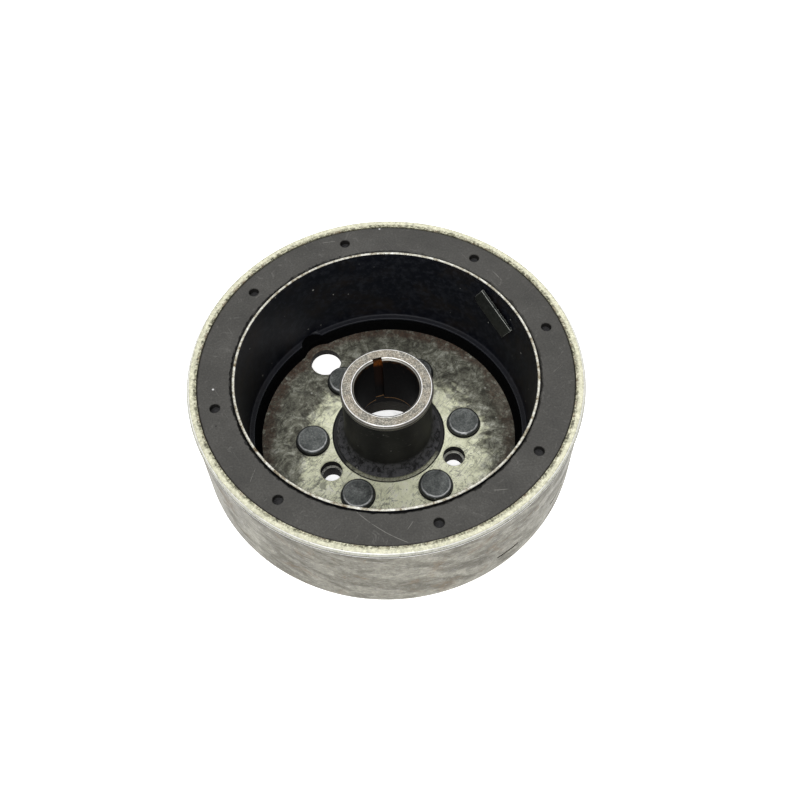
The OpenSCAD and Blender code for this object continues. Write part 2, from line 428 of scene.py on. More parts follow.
def wall_finish():
    """Drawn side wall: grey-beige, scuffed round its length and smudged."""
    f = Finish("wall_steel")
    grain = f.noise(0.9, 4, 0.75)
    mottle = f.noise(2.4, 6, 0.75, distortion=0.3)
    broad = f.noise(18, 4, 0.6)
    scuff = f.noise(1, 5, 0.7, f.round_axis(13, 1.5))
    shade = f.contrast(grain * 0.24 + mottle * 0.32 + scuff * 0.22 + broad * 0.22, 2.2)
    colour = f.ramp(shade, (0.22, tint(0.070, 0.065, 0.050)), (0.38, tint(0.135, 0.128, 0.101)),
                    (0.52, tint(0.200, 0.192, 0.155)), (0.66, tint(0.285, 0.275, 0.225)),
                    (0.84, tint(0.48, 0.47, 0.40)))
    slanted = f.vector(f.x, f.y, f.z * 2.2 + f.x * 0.5)
    smudge = f.above(f.noise(15, 5, 0.65, slanted, 0.8), 0.53, 0.11)
    colour = f.mix(colour, tint(0.075, 0.068, 0.052), smudge * 0.60)
    brown = f.above(f.noise(8, 5, 0.7, distortion=0.5), 0.60, 0.06)
    colour = f.mix(colour, tint(0.16, 0.105, 0.058), brown * 0.40)
    scored = f.above(f.noise(1, 1, 0.5, f.round_axis(26, 5)), 0.66, 0.04)
    colour = f.mix(colour, grey(0.50), scored * 0.30)
    hair = f.veins(7, 0.006, 0.8, 2.0)
    colour = f.mix(colour, tint(0.06, 0.055, 0.045), hair * 0.45)
    pits = f.specks(2.3, 0.12, 3.0)
    colour = f.mix(colour, tint(0.04, 0.034, 0.028), pits * 0.7)
    # painted highlight: a pale line along the lip band below the chamfer
    lip_highlight = f.band(f.z, LIP_BAND_LOW + 0.05, RIM_Z - LIP_CHAMFER_H - 0.10, 0.05)
    colour = f.mix(colour, grey(0.86), lip_highlight * (0.5 + 0.5 * f.above(mottle, 0.45, 0.08)))
    # painted shade: a dark line just under the lip band
    shade_under_lip = f.band(f.z, LIP_BAND_LOW - 0.22, LIP_BAND_LOW, 0.06)
    colour = f.mix(colour, tint(0.05, 0.048, 0.042), shade_under_lip * 0.8)
    ridge_line = f.band(f.z, LIP_BAND_LOW - 0.55, LIP_BAND_LOW - 0.25, 0.06)
    colour = f.mix(colour, tint(0.44, 0.43, 0.38), ridge_line * f.above(mottle, 0.42, 0.08) * 0.35)
    # painted shade: the pressed marks painted nearly black, darkest towards one end of the first mark, as
    # shade in a recess
    shaded_mark = f.below(f.radius, WALL_R - 0.10, 0.05) * f.band(f.z, 15.0, 28.0, 1.0)
    toward_end = f.from_heading(WALL_MARKS[0][0], 5.0)
    colour = f.mix(colour, tint(0.010, 0.009, 0.007), shaded_mark * toward_end * 0.97)
    rough = 0.44 + 0.2 * smudge + 0.16 * brown - 0.10 * scored + 0.08 * grain
    height = grain * 0.25 + scuff * 0.5 + scored * 0.25 - pits * 0.8 - hair * 0.4
    return f.finish(colour, rough, 0.55 - 0.35 * brown - 0.2 * smudge, height, 0.05, 0.6)


def floor_finish():
    """Inside floor: cream-grey and clean round the hub, olive, dark and rusty outwards."""
    f = Finish("floor_steel")
    grain = f.noise(0.8, 4, 0.75)
    mottle = f.noise(3.0, 5, 0.7, distortion=0.5)
    cloud = f.noise(11, 5, 0.65, distortion=0.9)
    swirl = f.noise(7.0, 6, 0.68, distortion=2.2)
    outward = f.add("ShaderNodeMapRange", None, {"Value": f.radius, "From Min": 19.0, "From Max": 40.0})
    # painted light and shade: the side towards -Y is painted lighter and the far side darker
    painted_lit_side = f.add("ShaderNodeMapRange", None, {
        "Value": f.y - f.x * 0.15, "From Min": 26.0, "From Max": -34.0})
    dirt_and_painted_shade = outward * 0.60 + cloud * 0.90 + mottle * 0.20 - painted_lit_side * 0.58
    shade = f.contrast(grain * 0.16 + mottle * 0.32 + swirl * 0.52, 1.9)
    cream = f.ramp(shade, (0.18, tint(0.38, 0.38, 0.26)), (0.32, tint(0.74, 0.75, 0.53)),
                   (0.50, tint(0.96, 0.975, 0.71)), (0.66, tint(1.0, 1.0, 0.80)),
                   (0.82, tint(1.0, 1.0, 0.94)))
    olive = f.ramp(shade, (0.20, tint(0.030, 0.028, 0.021)), (0.37, tint(0.10, 0.098, 0.075)),
                   (0.51, tint(0.23, 0.23, 0.182)), (0.65, tint(0.46, 0.465, 0.39)),
                   (0.80, tint(0.80, 0.81, 0.73)))
    # the olive mix carries real dirt outwards and the painted shade of the far side
    soiled_and_shaded = f.above(dirt_and_painted_shade, 0.57, 0.09)
    colour = f.mix(cream, olive, soiled_and_shaded)
    dark = f.above(f.noise(5.5, 5, 0.75, distortion=1.4), 0.57, 0.05) * f.above(outward, 0.22, 0.2)
    colour = f.mix(colour, tint(0.040, 0.040, 0.032), dark * 0.60)
    tide = f.veins(9, 0.010, 1.8) * f.above(outward, 0.1, 0.1)
    colour = f.mix(colour, tint(0.045, 0.043, 0.034), tide * 0.55)
    hair = f.veins(5, 0.006, 3.0, 2.0)
    colour = f.mix(colour, tint(0.06, 0.058, 0.046), hair * 0.45)
    edge = f.above(f.radius + (cloud - 0.5) * 10, 38.8, 1.4) * (1 - painted_lit_side * 0.55)
    rust = edge * f.above(f.noise(1.7, 5, 0.75), 0.42, 0.10)
    rusty = f.ramp(grain, (0.36, tint(0.022, 0.012, 0.009)), (0.55, tint(0.075, 0.036, 0.020)),
                   (0.7, tint(0.16, 0.085, 0.05)))
    colour = f.mix(colour, rusty, rust * 0.80)
    glints = f.specks(2.0, 0.16, 9.0, 0.16)
    colour = f.mix(colour, tint(0.62, 0.62, 0.56), glints * soiled_and_shaded * 0.7)
    grit = f.specks(1.5, 0.20, 1.0, 0.15)
    colour = f.mix(colour, tint(0.025, 0.023, 0.018), grit * 0.8)
    slanted = f.vector(f.x * 0.10 + f.y * 0.10, f.y * 0.8 - f.x * 0.8, f.z)
    stroke = f.above(f.noise(1, 4, 0.7, slanted, 0.6), 0.60, 0.04)
    colour = f.mix(colour, tint(0.085, 0.083, 0.062), stroke * 0.45)
    # the line at the spigot is a dark joint; the ring round each rivet head is painted shade at its base
    joint = f.below(f.radius, SPIGOT_R + 0.26, 0.08)
    rivet_base_shade = f.below(f.from_copies(RIVET_COUNT, RIVET_CIRCLE_R)[0], RIVET_HEAD_R + 0.30, 0.08)
    colour = f.mix(colour, tint(0.004, 0.004, 0.0035), joint.maths("MAXIMUM", joint, rivet_base_shade))
    rough = 0.40 + 0.18 * soiled_and_shaded + 0.2 * rust + 0.1 * grain
    height = grain * 0.45 + swirl * 0.35 - grit * 0.6 - dark * 0.2 - hair * 0.4
    metal = 0.05 + 0.45 * soiled_and_shaded - 0.4 * rust - 0.1 * dark
    return f.finish(colour, rough, metal, height, 0.10, 0.8)


def boss_finish():
    """Hub forging: black oxide with a slight sheen and faint turning marks."""
    f = Finish("boss_black")
    turned = f.noise(1, 3, 0.6, f.round_axis(12, 3))
    grain = f.noise(0.8, 5, 0.75)
    cloud = f.noise(6, 4, 0.6)
    colour = f.ramp(grain * 0.4 + turned * 0.35 + cloud * 0.25, (0.36, tint(0.0022, 0.0022, 0.0026)),
                    (0.50, tint(0.0065, 0.0065, 0.0072)), (0.62, tint(0.017, 0.017, 0.018)),
                    (0.76, tint(0.060, 0.060, 0.060)))
    foot = f.below(f.z, FLOOR_TOP + FLARE_R * 0.80, 0.8) * f.above(f.z, FLOOR_TOP + 0.3, 0.3)
    scurf = f.above(f.noise(1.7, 5, 0.8, distortion=0.6), 0.48, 0.09) * foot
    colour = f.mix(colour, tint(0.105, 0.105, 0.112), scurf * 0.75)
    colour = f.mix(colour, tint(0.30, 0.30, 0.28), f.specks(2.4, 0.22, 2.0, 0.10) * 0.6)
    nicks = f.above(f.noise(1, 2, 0.5, f.round_axis(6, 2.6)), 0.68, 0.02)
    nicks = nicks * f.above(f.noise(4, 2), 0.53, 0.05)
    colour = f.mix(colour, tint(0.16, 0.16, 0.145), nicks * 0.6)
    flange = f.below(f.z, FLANGE_TOP, 0.05)
    worn = f.ramp(grain * 0.5 + cloud * 0.5, (0.38, tint(0.05, 0.047, 0.042)),
                  (0.52, tint(0.14, 0.135, 0.12)),
                  (0.68, tint(0.30, 0.29, 0.26)))
    colour = f.mix(colour, worn, flange * 0.85)
    rust = f.above(f.noise(5, 5, 0.7, distortion=0.6), 0.56, 0.08) * flange
    colour = f.mix(colour, tint(0.085, 0.042, 0.022), rust * 0.7)
    colour = f.mix(colour, tint(0.24, 0.24, 0.23), f.above(f.edge_wear(), 0.5, 0.3) * 0.4)
    rough = 0.52 + 0.16 * grain + 0.15 * scurf + 0.15 * rust
    height = grain * 0.45 + turned * 0.35 + nicks * 0.3
    return f.finish(colour, rough, 0.2 + 0.4 * flange, height, 0.05, 0.6, specular=0.35)


def hole_finish():
    """Walls of the drilled holes: nearly black, with a few bare flecks."""
    f = Finish("hole_wall")
    grain = f.noise(0.9, 4, 0.75)
    colour = f.ramp(grain, (0.38, tint(0.0035, 0.0030, 0.0026)), (0.60, tint(0.014, 0.012, 0.010)),
                    (0.72, tint(0.12, 0.11, 0.095)))
    return f.finish(colour, 0.6 + 0.2 * grain, 0.0, grain, 0.04, 0.5, specular=0.15)


def pale_step_finish():
    """Ring of steel at the foot of the boss: bare on one side, black on the other."""
    f = Finish("step_steel")
    grain = f.noise(0.8, 5, 0.75)
    colour = f.ramp(grain, (0.36, tint(0.13, 0.13, 0.095)), (0.50, tint(0.34, 0.34, 0.25)),
                    (0.66, tint(0.52, 0.52, 0.42)))
    black = f.above(f.y / f.radius + (f.noise(3, 3) - 0.5) * 0.5, -0.62, 0.14)
    colour = f.mix(colour, tint(0.008, 0.008, 0.009), black)
    gap = f.band(f.radius, SPIGOT_R - 0.18, SPIGOT_R + 0.3, 0.08)
    colour = f.mix(colour, tint(0.006, 0.006, 0.005), gap)
    bare = f.below(f.z, FLANGE_TOP + 1, 0.2) * f.above(grain, 0.42, 0.1)
    colour = f.mix(colour, tint(0.62, 0.62, 0.56), bare)
    return f.finish(colour, 0.45 + 0.15 * grain, 0.4, grain, 0.04, 0.5)


def machined_finish():
    """Ground face and turned land at the top of the boss."""
    f = Finish("machined_steel")
    turned = f.noise(1, 2, 0.6, f.round_axis(16, 7))
    grain = f.noise(0.42, 3, 0.75)
    patch = f.noise(3.4, 5, 0.7, distortion=0.8)
    shade = f.contrast(turned * 0.30 + grain * 0.48 + patch * 0.22, 2.3)
    colour = f.ramp(shade, (0.36, tint(0.10, 0.095, 0.080)),
                    (0.46, tint(0.20, 0.19, 0.165)), (0.54, tint(0.31, 0.295, 0.255)),
                    (0.63, tint(0.44, 0.420, 0.355)), (0.74, tint(0.72, 0.70, 0.62)))
    colour = f.mix(colour, tint(0.20, 0.145, 0.09), f.above(patch, 0.50, 0.08) * 0.35)
    side = f.below(f.z, BOSS_TOP - 0.22, 0.10) * f.above(f.radius, 12.5, 0.2)
    colour = f.mix(colour, tint(0.095, 0.090, 0.080), side * 0.70)
    chamfer = f.below(f.z, BOSS_TOP - 0.18, 0.08) * f.below(f.radius, 12.0, 0.2)
    colour = f.mix(colour, tint(0.055, 0.048, 0.040), chamfer * 0.65)
    # painted highlight: near-white rings on the outer and inner edges of the ground face
    outer_line = f.band(f.radius, FACE_OUT_R - 0.14, FACE_OUT_R + 0.12, 0.07)
    inner_line = f.band(f.radius, FACE_IN_R - 0.08, FACE_IN_R + 0.16, 0.07)
    bright = (outer_line + inner_line) * f.above(f.z, BOSS_TOP - 0.25, 0.08)
    colour = f.mix(colour, grey(1.0), bright * (0.70 + 0.30 * f.above(patch, 0.45, 0.08)))
    turned_line = f.band(f.z, BOSS_TOP - LAND_CHAMFER - 0.12, BOSS_TOP - LAND_CHAMFER + 0.10, 0.06)
    turned_line = turned_line + f.band(f.z, BOSS_TOP - LAND_H + 0.02, BOSS_TOP - LAND_H + 0.22, 0.06)
    chamfer_line = f.band(f.z, BOSS_TOP - FACE_CHAMFER + 0.10, BOSS_TOP - FACE_CHAMFER + 0.34, 0.05)
    dull = turned_line * f.above(f.radius, 12.5, 0.2) + chamfer_line * f.below(f.radius, 12.0, 0.2)
    colour = f.mix(colour, tint(0.50, 0.49, 0.45), dull * 0.8)
    # painted shade: the creases of the hub top painted nearly black
    colour = f.mix(colour, tint(0.010, 0.009, 0.008), f.above(f.crevice(), 0.4, 0.2) * 0.9)
    height = turned * 0.6 + grain * 0.5
    return f.finish(colour, 0.34 + 0.18 * grain, 0.7, height, 0.04, 0.7)


def bore_finish():
    """Tapered bore: dark, with rust in the mouth of the keyway."""
    f = Finish("bore_steel")
    mottle = f.noise(1.5, 4, 0.7)
    turned = f.noise(1, 2, 0.6, f.round_axis(8, 3))
    colour = f.ramp(mottle * 0.6 + turned * 0.4, (0.36, tint(0.0006, 0.0005, 0.0006)),
                    (0.54, tint(0.0022, 0.0018, 0.0019)),
                    (0.74, tint(0.014, 0.010, 0.009)))
    untapered = f.radius - (f.z - SEAT_Z) * TAPER_SLOPE
    key = f.above(untapered, TAPER_SMALL_R + 0.12, 0.05) * f.above(f.z, SEAT_Z + 0.2, 0.1)
    colour = f.mix(colour, tint(0.0015, 0.0012, 0.0010), key * 0.8)
    fresh = f.band(f.z, BOSS_TOP - 4.2, BOSS_TOP - 1.3, 0.6)
    orange = f.ramp(f.noise(0.7, 4, 0.75), (0.38, tint(0.05, 0.013, 0.002)),
                    (0.62, tint(0.30, 0.088, 0.012)))
    colour = f.mix(colour, orange, key * fresh * 0.95)
    trail = f.band(f.z, BOSS_TOP - 14.0, BOSS_TOP - 3.0, 3.0)
    colour = f.mix(colour, tint(0.020, 0.007, 0.0025), key * trail * 0.5)
    # painted light on rusty steel: the throat ring painted bright orange on one side only
    throat_lit_arc = f.band(f.z, SEAT_Z - 0.1, SEAT_Z + 0.5, 0.15) * f.above(f.x + f.y * 1.4, 3.0, 3.0)
    colour = f.mix(colour, tint(0.36, 0.19, 0.07), throat_lit_arc * 0.6)
    thread = f.below(f.z, THREAD_TOP, 0.1)
    colour = f.mix(colour, tint(0.10, 0.095, 0.085), thread * 0.7)
    rusty_rim = f.band(f.z, BOSS_TOP - 1.8, BOSS_TOP - 0.6, 0.4) * f.above(mottle, 0.5, 0.1)
    colour = f.mix(colour, tint(0.075, 0.034, 0.014), rusty_rim * 0.6)
    height = turned * 0.6 + mottle * 0.4
    return f.finish(colour, 0.5 + 0.2 * mottle, 0.15 - 0.15 * key, height, 0.04, 0.5, specular=0.04)


def rivet_finish():
    """Rivet heads: blue-grey scale, finely mottled, bright on the edge from wear and painted highlight."""
    f = Finish("rivet_steel_look")
    grain = f.noise(0.6, 5, 0.75)
    cloud = f.noise(4.0, 4, 0.65, distortion=0.5)
    colour = f.ramp(f.contrast(grain * 0.55 + cloud * 0.45, 1.6), (0.32, tint(0.030, 0.033, 0.033)),
                    (0.46, tint(0.070, 0.077, 0.075)), (0.57, tint(0.115, 0.124, 0.120)),
                    (0.72, tint(0.22, 0.23, 0.225)))
    distance, behind = f.from_copies(RIVET_COUNT, RIVET_CIRCLE_R)
    wandering = distance + (f.noise(2.2, 3) - 0.5) * 0.5
    # a pale ring inside the head's edge: wear, with a painted highlight that is strongest on the near side
    ring = f.band(wandering, RIVET_HEAD_R - 0.95, RIVET_HEAD_R - 0.55, 0.14)
    highlight_near_side = 0.25 + 0.75 * f.below(behind, -1.2, 2.2)
    colour = f.mix(colour, tint(0.58, 0.59, 0.59), ring * highlight_near_side * f.above(cloud, 0.40, 0.12) * 0.9)
    flank = f.above(distance, RIVET_HEAD_R - 0.35, 0.12)
    colour = f.mix(colour, tint(0.026, 0.028, 0.028), flank * 0.8)
    nick = f.specks(1.7, 0.16, 5.0, 0.15)
    colour = f.mix(colour, grey(0.45), nick * 0.55)
    # painted shade: the foot of each head painted black where it meets the floor
    base = f.below(f.z, FLOOR_TOP + 0.42, 0.1)
    colour = f.mix(colour, tint(0.004, 0.004, 0.004), base * 0.95)
    return f.finish(colour, 0.36 + 0.2 * grain, 0.5, grain * 0.6 + cloud * 0.6, 0.06, 0.7)


# Long scores in the resin: start and end direction, start and end radius
RESIN_SCORES = [
    (-107.0, -97.5, 47.6, 53.0), (-97.6, -91.0, 53.0, 56.6), (-60.0, -56.5, 50.8, 53.0),
    (-90.5, -88.6, 52.6, 50.6), (36.0, 41.0, 50.8, 51.6), (-146.0, -143.5, 50.0, 53.6),
    (101.0, 105.0, 54.4, 55.2),
]


def resin_finish():
    """Moulded resin: matt charcoal with fine scratches, smears and white grit."""
    f = Finish("resin_charcoal")
    cloud = f.noise(11, 4, 0.6)
    grain = f.noise(0.6, 3, 0.65)
    colour = f.ramp(cloud * 0.45 + grain * 0.55, (0.34, tint(0.037, 0.036, 0.033)),
                    (0.52, tint(0.058, 0.056, 0.051)),
                    (0.68, tint(0.084, 0.082, 0.076)))
    fine = f.scratches(16, 0.30, 64, 1.0) * f.above(f.noise(6, 2), 0.58, 0.05)
    stray = f.scratches(10, 0.28, -38, 4.0) * f.above(f.noise(7, 2, distortion=1.0), 0.61, 0.05)
    colour = f.mix(colour, tint(0.22, 0.215, 0.20), fine * 0.25 + stray * 0.30)
    score = f.arc_scratch(*RESIN_SCORES[0])
    for mark in RESIN_SCORES[1:]:
        score = score + f.arc_scratch(*mark)
    score = score * f.above(f.noise(1.6, 3, 0.7), 0.42, 0.1)
    colour = f.mix(colour, tint(0.25, 0.245, 0.225), score * 0.65)
    smear = f.above(f.noise(5, 4, 0.75, distortion=1.8), 0.63, 0.05)
    colour = f.mix(colour, tint(0.145, 0.14, 0.13), smear * 0.35)
    grit = f.specks(4.0, 0.16, 7.0, 0.075)
    colour = f.mix(colour, grey(0.75), grit * 0.85)
    dust = f.specks(1.3, 0.06, 2.5, 0.12)
    colour = f.mix(colour, tint(0.22, 0.215, 0.20), dust * 0.6)
    fleck = f.specks(2.0, 0.06, 2.0, 0.14)
    colour = f.mix(colour, tint(0.008, 0.0075, 0.007), fleck * 0.8)
    ragged = (f.noise(1.6, 3, 0.7) - 0.5) * 2.6
    outer = f.above(f.radius + ragged * 0.35, RESIN_R - 0.38, 0.2)
    colour = f.mix(colour, tint(0.014, 0.012, 0.009), outer * 0.85)
    wide_side = f.above(f.y * 0.4 - f.x, 5.0, 24.0)
    inner = f.below(f.radius + ragged * (0.5 + 0.5 * wide_side) - wide_side * 0.45, RESIN_IN_R + 0.28, 0.12)
    colour = f.mix(colour, tint(0.003, 0.003, 0.003), inner * 0.97)
    # painted shade: the mould-pin holes painted nearly black below the top
    pin = f.below(f.z, RESIN_TOP - 0.4, 0.2)
    colour = f.mix(colour, tint(0.006, 0.0055, 0.005), pin * 0.85)
    rough = 0.50 + 0.15 * grain - 0.12 * fine - 0.08 * smear
    height = grain * 0.5 + cloud * 0.2 - (fine + stray + score) * 0.4 + grit * 0.5
    return f.finish(colour, rough, 0.0, height, 0.04, 0.6, specular=0.35)


def resin_foot_shade_finish():
    """Foot of the resin under the liner: black resin, painted near-black as shade under the liner."""
    f = Finish("resin_soot")
    grain = f.noise(0.8, 4, 0.7)
    colour = f.ramp(grain, (0.36, tint(0.0004, 0.0004, 0.0005)), (0.66, tint(0.0024, 0.0024, 0.0026)))
    return f.finish(colour, 0.7 + 0.2 * grain, 0.0, grain, 0.04, 0.5, specular=0.04)


def liner_finish():
    """Liner sleeve: near black with a bluish cast, dusty specks, bright worn lip."""
    f = Finish("liner_black")
    cloud = f.noise(13, 5, 0.65, distortion=0.7)
    mottle = f.noise(1.8, 6, 0.75)
    colour = f.ramp(cloud, (0.36, tint(0.0010, 0.0020, 0.0062)), (0.50, tint(0.0022, 0.0030, 0.0066)),
                    (0.66, tint(0.0095, 0.0072, 0.0068)))
    colour = f.mix(colour, tint(0.026, 0.028, 0.036), f.above(mottle, 0.56, 0.08) * 0.65)
    pale = f.above(f.noise(5, 5, 0.7, distortion=0.8), 0.58, 0.07)
    colour = f.mix(colour, tint(0.016, 0.018, 0.024), pale * 0.6)
    dust = f.specks(2.2, 0.16, 4.0, 0.11) + f.specks(1.2, 0.07, 8.0, 0.12) * 0.7
    dust = dust + f.specks(4.5, 0.25, 3.0, 0.07)
    colour = f.mix(colour, tint(0.46, 0.46, 0.43), dust * 0.8)
    # painted light: the turned-in edge painted lighter than the sleeve, its edges lighter still as painted
    # highlight on wear
    lit_shelf = f.below(f.z, LINER_LOW + LINER_T + 0.4, 0.3)
    colour = f.mix(colour, tint(0.022, 0.023, 0.028), lit_shelf * 0.6)
    edge = f.edge_wear()
    colour = f.mix(colour, tint(0.10, 0.105, 0.12), f.above(edge, 0.6, 0.25) * lit_shelf * 0.25)
    lip = f.above(f.z, LINER_TOP - 0.16, 0.06)
    lip_tone = f.ramp(f.noise(1.8, 5, 0.75), (0.34, tint(0.10, 0.066, 0.036)),
                      (0.42, tint(0.30, 0.27, 0.20)),
                      (0.52, tint(0.55, 0.54, 0.47)), (0.66, tint(0.85, 0.85, 0.80)))
    colour = f.mix(colour, lip_tone, lip)
    metal = lip * 0.55 + 0.1
    rough = 0.42 + 0.2 * mottle - 0.08 * lip
    height = mottle * 0.6 + cloud * 0.5
    return f.finish(colour, rough, metal, height, 0.05, 0.5, specular=0.25)


def strip_finish():
    """Loose strip: dark grey face, bare bright edges."""
    f = Finish("strip_steel_look")
    mottle = f.noise(1.4, 5, 0.7)
    colour = f.ramp(mottle, (0.35, tint(0.010, 0.012, 0.011)), (0.55, tint(0.021, 0.024, 0.022)),
                    (0.75, tint(0.045, 0.050, 0.046)))
    worn = f.above(f.edge_wear(), 0.4, 0.2) * f.above(mottle, 0.42, 0.1)
    colour = f.mix(colour, tint(0.42, 0.43, 0.40), worn * 0.8)
    return f.finish(colour, 0.4 + 0.2 * mottle, 0.3, mottle, 0.04, 0.5)


def ferrite_finish():
    """Sintered ferrite: dark grey, fine-grained and dull."""
    f = Finish("ferrite_grain")
    grain = f.noise(0.6, 4, 0.7)
    colour = f.ramp(grain, (0.35, tint(0.018, 0.018, 0.020)), (0.65, tint(0.055, 0.054, 0.056)))
    pits = f.specks(1.2, 0.15, 6.0)
    colour = f.mix(colour, grey(0.01), pits * 0.6)
    return f.finish(colour, 0.6 + 0.2 * grain, 0.1, grain - pits, 0.04, 0.5)


def table_finish():
    """Plain pale floor under the part, lit as a white studio sweep is."""
    f = Finish("pale_floor")
    cloud = f.noise(90, 3, 0.5)
    colour = f.ramp(cloud, (0.3, grey(0.93)), (0.7, grey(0.96)))
    ragged = (f.noise(3, 4, 0.7) - 0.5) * 6
    # painted shadow: a dark patch on the floor under the right side of the hub
    shade = f.above(f.x + ragged, 3.4, 0.6) * f.below(f.radius, THREAD_R, 0.3) * f.above(f.y, 4.0, 2.0)
    colour = f.mix(colour, tint(0.010, 0.020, 0.022), shade * 0.95)
    return f.finish(colour, 0.7 + 0.1 * cloud, 0.0, f.noise(4, 3), 0.02, 0.1, specular=0.2, glow=0.75)


# ---------------------------------------------------------------- geometry trees

def new_tree(name, sockets):
    """A geometry tree with Geometry in and out and the named inputs: (name, kind, default)."""
    tree = bpy.data.node_groups.new(name, "GeometryNodeTree")
    tree.is_modifier = True
    faces = tree.interface
    faces.new_socket("Geometry", in_out="OUTPUT", socket_type="NodeSocketGeometry")
    faces.new_socket("Geometry", in_out="INPUT", socket_type="NodeSocketGeometry")
    for label, kind, default in sockets:
        socket = faces.new_socket(label, in_out="INPUT", socket_type=kind)
        if default is not None:
            socket.default_value = default
    graph = Graph(tree)
    entry = tree.nodes.new("NodeGroupInput")
    given = {out.name: Value(graph, out) for out in entry.outputs if out.name}
    return graph, given


def close_tree(graph, geometry, material):
    """Ends the tree in Realize Instances and Set Material."""
    real = graph.add("GeometryNodeRealizeInstances", None, {"Geometry": geometry})
    done = graph.add("GeometryNodeSetMaterial", None, {"Geometry": real, "Material": material})
    exit_node = graph.tree.nodes.new("NodeGroupOutput")
    graph.tree.links.new(done.socket, exit_node.inputs["Geometry"])
    return graph.tree


def wavy(graph, geometry, given):
    """Pushes the surface in and out along its normal by smooth noise."""
    place = graph.add("GeometryNodeInputPosition")
    ripple = graph.add("ShaderNodeTexNoise", {"noise_dimensions": "4D"}, {
        "Vector": place, "W": given["Seed"], "Scale": given["Wave Scale"], "Detail": 2.0,
    })
    push = (ripple - 0.5) * 2 * given["Wave Depth"]
    normal = graph.add("GeometryNodeInputNormal")
    offset = graph.add("ShaderNodeVectorMath", {"operation": "SCALE"}, {0: normal, "Scale": push})
    return graph.add("GeometryNodeSetPosition", None, {"Geometry": geometry, "Offset": offset})


def turned_tree():
    """Turns a closed profile, drawn in the XZ plane, about the Z axis."""
    graph, given = new_tree("Turned part", [
        ("Steps", "NodeSocketInt", 256),
        ("Wave Depth", "NodeSocketFloat", 0.0),
        ("Wave Scale", "NodeSocketFloat", 60.0),
        ("Seed", "NodeSocketFloat", 0.0),
        ("Material", "NodeSocketMaterial", None),
    ])
    profile = given["Geometry"]
    points = graph.add("GeometryNodeAttributeDomainSize", {"component": "MESH"}, {
        "Geometry": profile,
    }, "Point Count")
    columns = given["Steps"] + 1
    grid = graph.add("GeometryNodeMeshGrid", None, {
        "Size X": 1.0, "Size Y": 1.0, "Vertices X": points + 1, "Vertices Y": columns,
    }, "Mesh")
    index = graph.add("GeometryNodeInputIndex")
    row = (index / columns).maths("FLOOR", index / columns) % points
    angle = (index % columns) / given["Steps"] * math.tau
    spot = graph.add("GeometryNodeInputPosition")
    found = graph.add("GeometryNodeSampleIndex", {"data_type": "FLOAT_VECTOR", "domain": "POINT"}, {
        "Geometry": profile, "Value": spot, "Index": row,
    })
    split = graph.add("ShaderNodeSeparateXYZ", None, {0: found})
    radius, height = Value(graph, split.socket), Value(graph, split.socket.node.outputs["Z"])
    place = graph.add("ShaderNodeCombineXYZ", None, {
        0: radius * angle.maths("COSINE", angle), 1: radius * angle.maths("SINE", angle), 2: height,
    })
    shaped = graph.add("GeometryNodeSetPosition", None, {"Geometry": grid, "Position": place})
    welded = graph.add("GeometryNodeMergeByDistance", None, {"Geometry": shaped, "Distance": 2e-7})
    return close_tree(graph, wavy(graph, welded, given), given["Material"])


def circle_of_copies_tree():
    """Copies the input round the Z axis, each a little different in turn and size."""
    graph, given = new_tree("Circle of copies", [
        ("Count", "NodeSocketInt", 6),
        ("Circle Radius", "NodeSocketFloat", 0.025),
        ("Size Spread", "NodeSocketFloat", 0.01),
        ("Wave Depth", "NodeSocketFloat", 0.00004),
        ("Wave Scale", "NodeSocketFloat", 260.0),
        ("Seed", "NodeSocketFloat", 0.0),
        ("Material", "NodeSocketMaterial", None),
    ])
    circle = graph.add("GeometryNodeMeshCircle", None, {
        "Vertices": given["Count"], "Radius": given["Circle Radius"],
    })
    index = graph.add("GeometryNodeInputIndex")
    spin = graph.add("FunctionNodeRandomValue", {"data_type": "FLOAT"}, {
        2: 0.0, 3: math.tau, "ID": index, "Seed": 7,
    }, 1)
    size = graph.add("FunctionNodeRandomValue", {"data_type": "FLOAT"}, {
        2: 1 - given["Size Spread"], 3: 1.0, "ID": index, "Seed": 11,
    }, 1)
    copies = graph.add("GeometryNodeInstanceOnPoints", None, {
        "Points": circle, "Instance": given["Geometry"],
        "Rotation": graph.add("ShaderNodeCombineXYZ", None, {2: spin}),
        "Scale": graph.add("ShaderNodeCombineXYZ", None, {0: size, 1: size, 2: 1.0}),
    })
    real = graph.add("GeometryNodeRealizeInstances", None, {"Geometry": copies})
    return close_tree(graph, wavy(graph, real, given), given["Material"])


def run_tree(piece, tree, **inputs):
    """Runs a geometry tree on the piece and keeps the result as its plain mesh."""
    modifier = piece.modifiers.new(tree.name, "NODES")
    modifier.node_group = tree
    sockets = {s.name: s.identifier for s in tree.interface.items_tree if s.in_out == "INPUT"}
    for label, value in inputs.items():
        modifier[sockets[label.replace("_", " ")]] = value
    keep_result(piece)


def keep_result(piece):
    """Replaces the piece's mesh with what its modifiers make of it, and removes them."""
    bpy.context.view_layer.update()
    evaluated = piece.evaluated_get(bpy.context.evaluated_depsgraph_get())
    mesh = bpy.data.meshes.new_from_object(evaluated)
    piece.modifiers.clear()
    piece.data = mesh
    mesh.name = piece.name


# ---------------------------------------------------------------- mesh helpers

# Flats get an extra ring this far from each corner, so that wear stays on the corner
SUPPORT = 0.22


